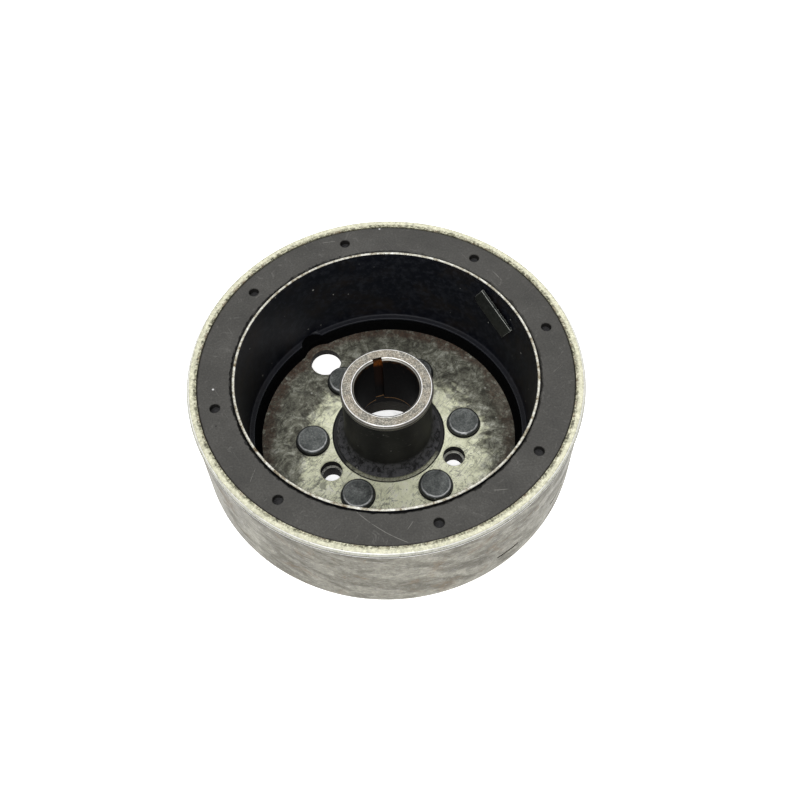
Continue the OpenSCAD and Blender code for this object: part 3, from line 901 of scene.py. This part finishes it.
def corner_arc(before, corner, after, fillet, segments):
    """Points of the arc that rounds one corner of a profile."""
    corner = Vector(corner)
    to_before = (Vector(before) - corner).normalized()
    to_after = (Vector(after) - corner).normalized()
    half = to_before.angle(to_after) / 2
    if half > math.radians(89.5):
        return [corner]
    run = fillet / math.tan(half)
    centre = corner + (to_before + to_after).normalized() * (fillet / math.sin(half))
    start = corner + to_before * run - centre
    end = corner + to_after * run - centre
    sweep = start.angle_signed(end)
    return [centre + Matrix.Rotation(-sweep * i / segments, 2) @ start for i in range(segments + 1)]


def profile_points(corners, step):
    """A closed profile with each corner rounded and each long run cut into steps."""
    rounded = []
    for i, (r, z, fillet) in enumerate(corners):
        before, after = corners[i - 1][:2], corners[(i + 1) % len(corners)][:2]
        if fillet:
            segments = max(4, min(12, round(fillet * 2)))
            rounded += corner_arc(before, (r, z), after, fillet, segments)
        else:
            rounded.append(Vector((r, z)))
    points = []
    for i, point in enumerate(rounded):
        following = rounded[(i + 1) % len(rounded)]
        length = (following - point).length
        if length < 1e-6:
            continue
        pieces = max(1, math.ceil(length / step))
        shares = {k / pieces for k in range(pieces)}
        if length > 3 * SUPPORT:
            shares |= {SUPPORT / length, 1 - SUPPORT / length}
        points += [point.lerp(following, share) for share in sorted(shares)]
    return points


def new_piece(name, mesh):
    piece = bpy.data.objects.new(name, mesh)
    bpy.context.scene.collection.objects.link(piece)
    return piece


def profile_piece(name, points):
    """An object that holds a closed profile in the XZ plane, in metres."""
    mesh = bpy.data.meshes.new(name)
    spots = [(p.x * MM, 0, p.y * MM) for p in points]
    mesh.from_pydata(spots, [(i, (i + 1) % len(spots)) for i in range(len(spots))], [])
    return new_piece(name, mesh)


def turned(name, corners, steps=256, step=1.2, wave=0.0, wave_size=16, seed=0.0):
    """A turned piece from the corners of its profile: (radius, height, fillet) in millimetres."""
    piece = profile_piece(name, profile_points(corners, step))
    run_tree(piece, turned_tree_once(), Steps=steps, Wave_Depth=wave * MM,
             Wave_Scale=1 / (wave_size * MM), Seed=seed)
    point_outwards(piece)
    return piece


def turned_tree_once():
    return bpy.data.node_groups.get("Turned part") or turned_tree()


def point_outwards(piece):
    """Turns every face of a closed piece to look outwards."""
    work = bmesh.new()
    work.from_mesh(piece.data)
    bmesh.ops.recalc_face_normals(work, faces=work.faces)
    work.to_mesh(piece.data)
    work.free()


def place(piece, angle, at):
    """Moves a piece's mesh out along X by that many millimetres and round the axis by degrees."""
    turn = Matrix.Rotation(math.radians(angle), 4, "Z")
    piece.data.transform(turn @ Matrix.Translation((at * MM, 0, 0)))
    return piece


def plug(name, radius, bottom, top, flare, steps=64):
    """A round cutter whose ends flare out, so that the hole it leaves has broken edges."""
    over = 1.0
    return turned(name, [
        (0, bottom - over, 0), (radius + flare + over, bottom - over, 0), (radius, bottom + flare, 0),
        (radius, top - flare, 0), (radius + flare + over, top + over, 0), (0, top + over, 0),
    ], steps, 50)


def cut(piece, cutters):
    """Cuts the cutters out of the piece and removes them."""
    for cutter in cutters:
        modifier = piece.modifiers.new("cut", "BOOLEAN")
        modifier.operation = "DIFFERENCE"
        modifier.solver = "MANIFOLD"
        modifier.object = cutter
    keep_result(piece)
    for cutter in cutters:
        bpy.data.objects.remove(cutter)


def block(name, size, centre, transform):
    """A box-shaped cutter, in millimetres."""
    mesh = bpy.data.meshes.new(name)
    work = bmesh.new()
    bmesh.ops.create_cube(work, size=1.0)
    work.to_mesh(mesh)
    work.free()
    shape = Matrix.Diagonal((*(s * MM for s in size), 1))
    mesh.transform(transform @ Matrix.Translation(Vector(centre) * MM) @ shape)
    return new_piece(name, mesh)


def mark_edges(piece, wear_radius=0.3):
    """Writes how far each point stands out on a corner (edge) or lies in one (crevice).

    A corner rounded to the wear radius or less counts in full, and a softer one in part."""
    work = bmesh.new()
    work.from_mesh(piece.data)
    work.verts.ensure_lookup_table()
    bend = [0.0] * len(work.verts)
    least_width = 0.06
    for edge in work.edges:
        angle = edge.calc_face_angle_signed(0.0) if len(edge.link_faces) == 2 else 0.0
        if abs(angle) < math.radians(2):
            continue
        length = edge.calc_length() / MM
        across = sum(face.calc_area() / MM ** 2 / length * (2 if len(face.verts) == 3 else 1)
                     for face in edge.link_faces) / 2
        curve = angle / max(across, least_width) * wear_radius
        for vert in edge.verts:
            if abs(curve) > abs(bend[vert.index]):
                bend[vert.index] = curve
    work.free()
    for name, sign in (("edge", 1), ("crevice", -1)):
        layer = piece.data.attributes.new(name, "FLOAT", "POINT")
        layer.data.foreach_set("value", [min(1.0, max(0.0, sign * b)) for b in bend])


def finish_piece(name_list, piece, materials, zone=None):
    """Last mesh work on a piece: edge attributes, materials by zone and smooth shading.

    zone says which material a face takes, from its centre's radius and height in
    millimetres and its normal."""
    mark_edges(piece)
    mesh = piece.data
    mesh.materials.clear()
    for material in materials:
        mesh.materials.append(material)
    for face in mesh.polygons:
        centre = face.center / MM
        face.material_index = zone(math.hypot(centre.x, centre.y), centre.z, face.normal) if zone else 0
    shade_smooth(mesh)
    weighted = piece.modifiers.new("weighted", "WEIGHTED_NORMAL")
    weighted.keep_sharp = True
    keep_result(piece)
    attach(piece, "rotor")
    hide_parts(*name_list)


def shade_smooth(mesh):
    """Smooth faces, with the edges over 35 degrees kept sharp."""
    for face in mesh.polygons:
        face.use_smooth = True
    mesh.set_sharp_from_angle(angle=math.radians(35))


def round_the_axis(count, start=0.0):
    return [start + 360 * i / count for i in range(count)]


# ---------------------------------------------------------------- user settings

class FlywheelShape(bpy.types.PropertyGroup):
    """Small shapes that use and making left on the pieces."""

    wall_wave: bpy.props.FloatProperty(
        name="Wall wave", description="How far the drawn wall wanders from a true cylinder",
        default=0.05 * MM, subtype="DISTANCE", unit="LENGTH")
    liner_wave: bpy.props.FloatProperty(
        name="Liner wave", description="How far the thin liner wanders from a true cylinder",
        default=0.12 * MM, subtype="DISTANCE", unit="LENGTH")
    resin_chip: bpy.props.FloatProperty(
        name="Resin chips", description="How far the resin's inner edge is broken back",
        default=0.45 * MM, subtype="DISTANCE", unit="LENGTH")
    edge_round: bpy.props.FloatProperty(
        name="Edge radius", description="Radius on the machined edges",
        default=0.18 * MM, subtype="DISTANCE", unit="LENGTH")


class FlywheelStage(bpy.types.PropertyGroup):
    """Light and background."""

    sky: bpy.props.FloatVectorProperty(
        name="Sky", description="Colour of the soft light from all round",
        default=(1.0, 0.995, 0.985), size=3, subtype="COLOR")
    sky_strength: bpy.props.FloatProperty(
        name="Sky strength", description="Strength of the soft light from all round", default=0.55)


# ---------------------------------------------------------------- pieces

class FLYWHEEL_OT_bowl(bpy.types.Operator):
    """Drawn steel bowl with its chamfered lip, holes and pressed marks"""

    bl_idname = "flywheel.bowl"
    bl_label = "Bowl"

    def execute(self, context):
        shape = context.scene.flywheel_shape
        soft = shape.edge_round / MM
        groove, ridge = 0.12, 0.3
        piece = turned("bowl_shell", [
            (CENTRE_HOLE_R, FLANGE_TOP, soft),
            (WALL_R, FLANGE_TOP, CORNER_R),
            (WALL_R, LIP_BAND_LOW - 2 * ridge, 0.05),
            (WALL_R - groove, LIP_BAND_LOW - 2 * ridge, 0.03),
            (WALL_R - groove, LIP_BAND_LOW - 1.5 * ridge, 0.03),
            (WALL_R + groove, LIP_BAND_LOW - 1.5 * ridge, 0.05),
            (WALL_R + groove, LIP_BAND_LOW - 0.7 * ridge, 0.05),
            (WALL_R - groove, LIP_BAND_LOW - 0.7 * ridge, 0.03),
            (WALL_R - groove, LIP_BAND_LOW, 0.03),
            (LIP_R, LIP_BAND_LOW, 0.1),
            (LIP_R, RIM_Z - LIP_CHAMFER_H, 0.25),
            (LIP_R - LIP_CHAMFER_W, RIM_Z, 0.25),
            (WALL_IN_R, RIM_Z, soft),
            (WALL_IN_R, FLOOR_TOP, CORNER_IN_R),
            (CENTRE_HOLE_R, FLOOR_TOP, soft),
        ], steps=360, step=1.5, wave=shape.wall_wave / MM, wave_size=22, seed=2.0)
        holes = [place(plug("bolt", BOLT_FLOOR_R, FLANGE_TOP, FLOOR_TOP, 0.3), a, BOLT_CIRCLE_R)
                 for a in round_the_axis(BOLT_COUNT, BOLT_START)]
        holes += [place(plug("rivet", RIVET_HOLE_R, FLANGE_TOP, FLOOR_TOP, 0.1), a, RIVET_CIRCLE_R)
                  for a in round_the_axis(RIVET_COUNT)]
        access = plug("access", ACCESS_R, FLANGE_TOP, FLOOR_TOP, 0.35)
        holes.append(place(access, ACCESS_ANGLE, ACCESS_AT))
        for angle, height, along, tall in WALL_MARKS:
            turn = Matrix.Rotation(math.radians(angle), 4, "Z")
            depth = MARK_DEPTH + 1
            middle = (WALL_R - MARK_DEPTH + depth / 2, 0, height)
            holes.append(block("mark", (depth, along, tall), middle, turn))
        cut(piece, holes)

        def zone(radius, height, normal):
            if height > RIM_Z - LIP_CHAMFER_H - 0.1:
                return 0
            if drilled(radius, normal, FOOT_R) and height < FLOOR_TOP:
                return 3
            inside = radius < WALL_IN_R + 0.5 and height > FLANGE_TOP + 0.5
            return 2 if inside else 1

        finish_piece(["bowl"], piece, [rim_finish(), wall_finish(), floor_finish(), hole_finish()], zone)
        return {"FINISHED"}


def drilled(radius, normal, limit):
    """Whether a face belongs to a hole through the floor or the flange."""
    return abs(normal.z) < 0.5 and SPIGOT_R + 0.5 < radius < limit


def thread_wave(piece):
    """Moves the points of the puller bore out into a helical thread that fades at its end."""
    low, high = MOUTH_CHAMFER * 0.5, THREAD_TOP
    flank = 2.6
    run_out = 1.2
    for vert in piece.data.vertices:
        spot = vert.co / MM
        radius = math.hypot(spot.x, spot.y)
        if abs(radius - THREAD_R) > 0.05 or not low < spot.z < high - 0.05:
            continue
        turn = math.atan2(spot.y, spot.x) / math.tau
        phase = (spot.z / THREAD_PITCH - turn) % 1.0
        cut_in = max(0.0, 1 - abs(phase - 0.5) * flank) * THREAD_DEPTH
        fade = min(1.0, (high - spot.z) / run_out)
        scale = (radius + cut_in * fade) / radius
        vert.co.x *= scale
        vert.co.y *= scale


class FLYWHEEL_OT_hub(bpy.types.Operator):
    """Forged and turned hub: flange, flared boss, tapered bore, keyway and puller thread"""

    bl_idname = "flywheel.hub"
    bl_label = "Hub"

    def execute(self, context):
        soft = context.scene.flywheel_shape.edge_round / MM
        land_z = BOSS_TOP - LAND_H
        scribe_z = BOSS_TOP - LAND_CHAMFER - 0.4
        scribe = 0.1
        corners = [
            (THREAD_R + MOUTH_CHAMFER, 0, 0.1), (FLANGE_R, 0, 0.4), (FLANGE_R, FLANGE_TOP, 0.3),
            (SPIGOT_R, FLANGE_TOP, 0), (SPIGOT_R, FLOOR_TOP, 0.2), (BOSS_FOOT_R, FLOOR_TOP, 0),
            *flare_profile(),
            (BOSS_TOP_R, land_z, 0.1), (LAND_R, land_z, 0.12), (LAND_R, scribe_z - scribe, 0.04),
            (LAND_R - scribe, scribe_z, 0.04), (LAND_R, scribe_z + scribe, 0.04),
            (LAND_R, BOSS_TOP - LAND_CHAMFER, 0.1), (FACE_OUT_R, BOSS_TOP, soft * 0.8),
            (FACE_IN_R, BOSS_TOP, soft * 0.8), (FACE_IN_R - FACE_CHAMFER, BOSS_TOP - FACE_CHAMFER, 0.12),
            (TAPER_SMALL_R, SEAT_Z, 0.15), (POCKET_R, SEAT_Z, 0), (POCKET_R, THREAD_TOP, 0.1),
            (THREAD_R, THREAD_TOP, 0), (THREAD_R, MOUTH_CHAMFER, 0.05),
        ]
        piece = hub_lathe(corners)
        cutters = [place(plug("bolt", BOLT_FLANGE_R, 0, FLANGE_TOP, 0.25), a, BOLT_CIRCLE_R)
                   for a in round_the_axis(BOLT_COUNT, BOLT_START)]
        # the upper flare of these plugs lies clear above the flange
        plug_top = FLANGE_TOP + RIVET_TAIL_H
        cutters += [place(plug("rivet", RIVET_HOLE_R, 0, plug_top, RIVET_TAIL_H), a, RIVET_CIRCLE_R)
                    for a in round_the_axis(RIVET_COUNT)]
        tilt = (Matrix.Rotation(math.radians(KEYWAY_ANGLE), 4, "Z")
                @ Matrix.Translation((KEYWAY_R * MM, 0, BOSS_TOP * MM))
                @ Matrix.Rotation(math.atan(TAPER_SLOPE), 4, "Y"))
        deep = BOSS_TOP - SEAT_Z + 2
        cutters.append(block("keyway", (KEYWAY_R, KEYWAY_W, deep), (-KEYWAY_R / 2, 0, 1 - deep / 2), tilt))
        cut(piece, cutters)

        def zone(radius, height, normal):
            in_taper = radius < KEYWAY_R + 0.1 and height > SEAT_Z and abs(normal.z) < 0.3
            in_pocket = radius < THREAD_R + THREAD_DEPTH + 0.05 and 0.05 < height < SEAT_Z + 0.1
            if in_taper or in_pocket:
                return 2
            if height > land_z - 0.05:
                return 1
            if drilled(radius, normal, FLANGE_R - 1):
                return 4
            on_step = abs(height - FLOOR_TOP) < 0.5 and radius > BOSS_FOOT_R - 0.02
            on_ledge = abs(height - FLANGE_TOP) < 0.4 and SPIGOT_R < radius < FLANGE_R - 0.5
            if on_step or on_ledge:
                return 3
            return 0

        materials = [boss_finish(), machined_finish(), bore_finish(), pale_step_finish(), hole_finish()]
        finish_piece(["hub"], piece, materials, zone)
        return {"FINISHED"}


def flare_profile():
    """Concave arc at the foot of the boss, from the foot's radius up to the boss."""
    run = BOSS_LOW_R + FLARE_R - BOSS_FOOT_R
    start = math.atan2(-math.sqrt(FLARE_R ** 2 - run ** 2), -run)
    steps = 10
    arc = []
    for i in range(steps + 1):
        angle = start + (-math.pi - start) * i / steps
        radius = BOSS_LOW_R + FLARE_R * (1 + math.cos(angle))
        height = FLOOR_TOP + FLARE_R * (1 + math.sin(angle))
        arc.append((radius, height, 0 if i else 0.15))
    return arc


def hub_lathe(corners):
    """Turns the hub with extra rings on the thread wall, then cuts the thread."""
    points = profile_points(corners, 0.9)
    fine = []
    for i, point in enumerate(points):
        following = points[(i + 1) % len(points)]
        fine.append(point)
        on_thread = abs(point.x - THREAD_R) < 0.02 and abs(following.x - THREAD_R) < 0.02
        if on_thread and (following - point).length > 0.3:
            pieces = round((following - point).length / 0.125)
            fine += [point.lerp(following, k / pieces) for k in range(1, pieces)]
    piece = profile_piece("turned_hub", fine)
    run_tree(piece, turned_tree_once(), Steps=216, Wave_Depth=0.02 * MM,
             Wave_Scale=1 / (9 * MM), Seed=5.0)
    thread_wave(piece)
    point_outwards(piece)
    return piece


class FLYWHEEL_OT_rivets(bpy.types.Operator):
    """Six rivets that clamp the floor to the hub flange"""

    bl_idname = "flywheel.rivets"
    bl_label = "Rivets"

    def execute(self, context):
        undercut = 0.35
        piece = turned("rivet_set", [
            (0, 0, 0), (RIVET_R + RIVET_TAIL_H, 0, 0.08), (RIVET_R, RIVET_TAIL_H, 0.3),
            (RIVET_R, FLOOR_TOP, 0), (RIVET_HEAD_R - undercut, FLOOR_TOP, 0.05),
            (RIVET_HEAD_R, FLOOR_TOP + undercut, 0.15), (RIVET_HEAD_R, RIVET_TOP - 0.35, 0.25),
            (RIVET_HEAD_R - 0.75, RIVET_TOP, 0.4), (0, RIVET_TOP, 0),
        ], steps=96, step=0.7)
        tree = circle_of_copies_tree()
        material = rivet_finish()
        run_tree(piece, tree, Count=RIVET_COUNT, Circle_Radius=RIVET_CIRCLE_R * MM, Size_Spread=0.012,
                 Wave_Depth=0.035 * MM, Wave_Scale=1 / (3.2 * MM), Seed=3.0, Material=material)
        point_outwards(piece)
        finish_piece([f"rivet_{i + 1}" for i in range(RIVET_COUNT)], piece, [material])
        return {"FINISHED"}


def chip_edge(piece, depth):
    """Breaks the resin's inner top edge back and down, unevenly round the ring."""
    for vert in piece.data.vertices:
        spot = vert.co / MM
        radius = math.hypot(spot.x, spot.y)
        if radius > RESIN_IN_R + CHIP_FULL + CHIP_FADE or spot.z < RESIN_TOP - RESIN_BEVEL - 0.5:
            continue
        near = 1 - max(0.0, (radius - RESIN_IN_R - CHIP_FULL) / CHIP_FADE)
        coarse = noise.noise(spot * 0.3 + Vector((3, 1, 7)))
        fine = noise.noise(spot * 1.1 + Vector((9, 4, 2)))
        amount = (0.2 + coarse + 1.1 * fine) * depth / MM * max(0.0, min(1.0, near))
        inner_limit = RESIN_IN_R + 0.01
        scale = max(inner_limit, radius + amount) / radius if radius > inner_limit + 0.05 else 1.0
        vert.co.x *= scale
        vert.co.y *= scale
        vert.co.z -= abs(fine) * 0.12 * depth * max(0.0, near)


class FLYWHEEL_OT_resin(bpy.types.Operator):
    """Moulded resin ring that holds the magnets, with the holes its mould pins left"""

    bl_idname = "flywheel.resin"
    bl_label = "Resin ring"

    def execute(self, context):
        shape = context.scene.flywheel_shape
        bevel_r = RESIN_IN_R + RESIN_BEVEL
        piece = turned("resin_ring", [
            (FOOT_R, FLOOR_TOP, 0.1), (RESIN_R, FLOOR_TOP, CORNER_IN_R),
            (RESIN_R, RESIN_TOP - 0.2, 0.05), (RESIN_R - 0.25, RESIN_TOP, 0.15),
            *((bevel_r + 0.3 * i, RESIN_TOP, 0) for i in (5, 4, 3, 2, 1)),
            (bevel_r, RESIN_TOP, 0.12), (RESIN_IN_R, RESIN_TOP - RESIN_BEVEL, 0.05),
            (RESIN_IN_R, LINER_LOW, 0), (FOOT_R + FOOT_SLOPE, LINER_LOW, 0.3),
        ], steps=432, step=1.6, wave=0.03, wave_size=14, seed=8.0)
        chip_edge(piece, shape.resin_chip)
        cutters = [magnet_pocket(centre) for centre in MAGNET_ANGLES]
        for angle in PIN_ANGLES:
            pin = plug("pin", PIN_R, magnet_high.z - 0.2, RESIN_TOP, 0.15, 48)
            cutters.append(place(pin, angle, PIN_CIRCLE_R))
        relief = plug("relief", FOOT_RELIEF_R, FLOOR_TOP, LINER_LOW, 0.05)
        cutters.append(place(relief, ACCESS_ANGLE, ACCESS_AT))
        cut(piece, cutters)

        def zone(_radius, height, _normal):
            return 1 if height < LINER_LOW + 0.1 else 0

        finish_piece(["magnet_carrier"], piece, [resin_finish(), resin_foot_shade_finish()], zone)
        return {"FINISHED"}


def magnet_pocket(centre):
    """The arc-shaped space that one magnet fills, as a cutter."""
    grow = 0.1
    steps = 40
    inner, outer = RESIN_IN_R - 1, RESIN_R + 1
    low, high = magnet_low.z - grow, magnet_high.z + grow
    work = bmesh.new()
    rings = []
    for i in range(steps + 1):
        angle = math.radians(centre - MAGNET_SPAN / 2 - grow + (MAGNET_SPAN + 2 * grow) * i / steps)
        along = Vector((math.cos(angle), math.sin(angle), 0))
        section = [(inner, low), (outer, low), (outer, high), (inner, high)]
        rings.append([work.verts.new((along * r + Vector((0, 0, z))) * MM) for r, z in section])
    for first, second in zip(rings, rings[1:]):
        for k in range(4):
            work.faces.new((first[k], first[(k + 1) % 4], second[(k + 1) % 4], second[k]))
    work.faces.new(rings[0])
    work.faces.new(reversed(rings[-1]))
    bmesh.ops.recalc_face_normals(work, faces=work.faces)
    mesh = bpy.data.meshes.new("pocket")
    work.to_mesh(mesh)
    work.free()
    return new_piece("pocket", mesh)


class FLYWHEEL_OT_magnets(bpy.types.Operator):
    """Ferrite arcs: the CAD nodes, with their own finish"""

    bl_idname = "flywheel.magnets"
    bl_label = "Magnets"

    def execute(self, context):
        material = ferrite_finish()
        for i in range(len(MAGNET_ANGLES)):
            for slot in frame["nodes"][f"magnet_{i + 1}"].material_slots:
                slot.material = material
        return {"FINISHED"}


class FLYWHEEL_OT_liner(bpy.types.Operator):
    """Thin sheet liner over the magnets, with its turned-in lower edge"""

    bl_idname = "flywheel.liner"
    bl_label = "Liner"

    def execute(self, context):
        shape = context.scene.flywheel_shape
        piece = turned("sheet_liner", [
            (LINER_R - LINER_EDGE_W, LINER_LOW, 0.15), (LINER_OUT_R, LINER_LOW, 0.3),
            (LINER_OUT_R, LINER_TOP, 0.25), (LINER_R, LINER_TOP, 0.3), (LINER_R, LINER_LOW + LINER_T, 0.5),
            (LINER_R - LINER_EDGE_W, LINER_LOW + LINER_T, 0.2),
        ], steps=360, step=1.5)
        wander(piece, shape.liner_wave)
        notch = plug("notch", NOTCH_R, LINER_LOW, LINER_LOW + LINER_T, 0.05)
        cut(piece, [place(notch, ACCESS_ANGLE, NOTCH_AT)])
        finish_piece(["liner_sleeve"], piece, [liner_finish()])
        return {"FINISHED"}


def wander(piece, depth):
    """Lets a thin sleeve wander inwards, both faces together, so its wall keeps its thickness."""
    round_scale = 3
    along_scale = 0.05
    for vert in piece.data.vertices:
        radius = math.hypot(vert.co.x, vert.co.y)
        angle = math.atan2(vert.co.y, vert.co.x)
        around = Vector((math.cos(angle), math.sin(angle), 0)) * round_scale
        spot = around + Vector((0, 0, vert.co.z / MM * along_scale))
        amount = (noise.noise(spot) - 1) / 2 * depth
        vert.co.x *= (radius + amount) / radius
        vert.co.y *= (radius + amount) / radius


class FLYWHEEL_OT_strip(bpy.types.Operator):
    """Loose steel strip that the magnets hold against the liner"""

    bl_idname = "flywheel.strip"
    bl_label = "Loose strip"

    def execute(self, context):
        tilt = math.radians(STRIP_TILT)
        half_y = (STRIP_L * math.cos(tilt) + STRIP_W * math.sin(tilt)) / 2
        back_x = math.sqrt((LINER_R - 0.2) ** 2 - half_y ** 2)
        outline = [(-STRIP_L / 2, -STRIP_W / 2), (STRIP_L / 2 - STRIP_CORNER_R, -STRIP_W / 2)]
        corner = Vector((STRIP_L / 2 - STRIP_CORNER_R, -STRIP_W / 2 + STRIP_CORNER_R))
        for i in range(1, 9):
            a = math.radians(-90 + 90 * i / 8)
            across = STRIP_CORNER_R * math.cos(a)
            down = STRIP_CORNER_R * math.sin(a)
            outline.append((corner.x + across, corner.y + down))
        outline += [(STRIP_L / 2, STRIP_W / 2), (-STRIP_L / 2, STRIP_W / 2)]
        work = bmesh.new()
        face = work.faces.new([work.verts.new((x * MM, y * MM, -STRIP_T * MM)) for x, y in outline])
        grown = bmesh.ops.extrude_face_region(work, geom=[face])
        raised = [v for v in grown["geom"] if isinstance(v, bmesh.types.BMVert)]
        bmesh.ops.translate(work, verts=raised, vec=(0, 0, STRIP_T * MM))
        bmesh.ops.recalc_face_normals(work, faces=work.faces)
        mesh = bpy.data.meshes.new("plate_strip")
        work.to_mesh(mesh)
        work.free()
        piece = new_piece("plate_strip", mesh)
        bevel = piece.modifiers.new("bevel", "BEVEL")
        bevel.width = 0.16 * MM
        bevel.segments = 3
        bevel.limit_method = "ANGLE"
        keep_result(piece)
        piece.data.transform(
            Matrix.Rotation(math.radians(STRIP_ANGLE), 4, "Z")
            @ Matrix.Translation((back_x * MM, 0, STRIP_Z * MM))
            @ Matrix.Rotation(tilt, 4, "X")
            @ Matrix.Rotation(math.radians(90), 4, "Z")
            @ Matrix.Rotation(math.radians(90), 4, "X"))
        mark_edges(piece)
        piece.data.materials.clear()
        piece.data.materials.append(strip_finish())
        shade_smooth(piece.data)
        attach(piece, "strip")
        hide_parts("loose_strip")
        return {"FINISHED"}


# ---------------------------------------------------------------- stage

# Camera: its distance from the middle of the rim in millimetres, then in degrees
# its height above the rim's plane, its turn and the small lean that the view has.
VIEW_DISTANCE = 319.026
VIEW_ELEVATION = 56.704
VIEW_AZIMUTH = -5.1
VIEW_YAW, VIEW_PITCH, VIEW_ROLL = 0.701, 1.598, 2.407
VIEW_LENS = 47.25
SENSOR_WIDTH = 36.0


def add_camera():
    data = bpy.data.cameras.new("camera")
    data.lens = VIEW_LENS
    data.sensor_width = SENSOR_WIDTH
    data.clip_start = 0.01
    data.clip_end = 20.0
    camera = bpy.data.objects.new("camera", data)
    bpy.context.scene.collection.objects.link(camera)
    elevation = math.radians(VIEW_ELEVATION)
    turn = Matrix.Rotation(math.radians(VIEW_AZIMUTH), 4, "Z")
    back = turn @ Vector((0, -math.cos(elevation), math.sin(elevation)))
    right = turn @ Vector((1, 0, 0))
    up = back.cross(right)
    looking = Matrix((right, up, back)).transposed().to_4x4()
    lean = (Matrix.Rotation(-math.radians(VIEW_YAW), 4, "Y")
            @ Matrix.Rotation(-math.radians(VIEW_PITCH), 4, "X")
            @ Matrix.Rotation(-math.radians(VIEW_ROLL), 4, "Z"))
    spot = back * VIEW_DISTANCE * MM + Vector((0, 0, RIM_Z * MM))
    camera.matrix_world = Matrix.Translation(spot) @ looking @ lean
    bpy.context.scene.camera = camera


def add_lamp(name, spot, size, power):
    """A square area lamp that looks at the part, in metres and watts."""
    data = bpy.data.lights.new(name, "AREA")
    data.size = size
    data.energy = power
    lamp = bpy.data.objects.new(name, data)
    bpy.context.scene.collection.objects.link(lamp)
    aim = Vector((0, 0, RIM_Z * MM / 2)) - Vector(spot)
    lamp.matrix_world = Matrix.Translation(spot) @ aim.to_track_quat("-Z", "Y").to_matrix().to_4x4()


class FLYWHEEL_OT_stage(bpy.types.Operator):
    """Plain pale floor, soft studio light and the camera"""

    bl_idname = "flywheel.stage"
    bl_label = "Stage"

    def execute(self, context):
        settings = context.scene.flywheel_stage
        half = 2.0        # metres
        mesh = bpy.data.meshes.new("pale_floor")
        corners = [(-half, -half, 0), (half, -half, 0), (half, half, 0), (-half, half, 0)]
        mesh.from_pydata(corners, [], [(0, 1, 2, 3)])
        floor = new_piece("pale_floor", mesh)
        mesh.materials.append(table_finish())
        world = bpy.data.worlds.new("soft_sky")
        world.use_nodes = True
        background = world.node_tree.nodes["Background"]
        background.inputs["Color"].default_value = (*settings.sky, 1)
        background.inputs["Strength"].default_value = settings.sky_strength
        context.scene.world = world
        add_lamp("window", (-0.22, -0.72, 1.02), 0.7, 8)
        add_lamp("overhead", (0.15, 0.6, 1.0), 0.9, 4)
        context.scene.view_settings.view_transform = "Standard"
        add_camera()
        return {"FINISHED"}


class FLYWHEEL_PT_pieces(bpy.types.Panel):
    """Lists the pieces of the flywheel and the settings they read"""

    bl_idname = "FLYWHEEL_PT_pieces"
    bl_label = "Flywheel"
    bl_space_type = "VIEW_3D"
    bl_region_type = "UI"
    bl_category = "Flywheel"

    def draw(self, context):
        for group in (context.scene.flywheel_shape, context.scene.flywheel_stage):
            for name in group.__annotations__:
                self.layout.prop(group, name)
        for operator in OPERATORS:
            self.layout.operator(operator.bl_idname)


GROUPS = (FlywheelShape, FlywheelStage)
OPERATORS = (FLYWHEEL_OT_bowl, FLYWHEEL_OT_hub, FLYWHEEL_OT_rivets, FLYWHEEL_OT_resin,
             FLYWHEEL_OT_magnets, FLYWHEEL_OT_liner, FLYWHEEL_OT_strip, FLYWHEEL_OT_stage)


def register():
    for cls in (*GROUPS, *OPERATORS, FLYWHEEL_PT_pieces):
        bpy.utils.register_class(cls)
    bpy.types.Scene.flywheel_shape = bpy.props.PointerProperty(type=FlywheelShape)
    bpy.types.Scene.flywheel_stage = bpy.props.PointerProperty(type=FlywheelStage)


def unregister():
    del bpy.types.Scene.flywheel_stage
    del bpy.types.Scene.flywheel_shape
    for cls in reversed((*GROUPS, *OPERATORS, FLYWHEEL_PT_pieces)):
        bpy.utils.unregister_class(cls)


def main():
    register()
    bpy.ops.flywheel.bowl()
    bpy.ops.flywheel.hub()
    bpy.ops.flywheel.rivets()
    bpy.ops.flywheel.resin()
    bpy.ops.flywheel.magnets()
    bpy.ops.flywheel.liner()
    bpy.ops.flywheel.strip()
    bpy.ops.flywheel.stage()


if __name__ == "__main__":
    main()
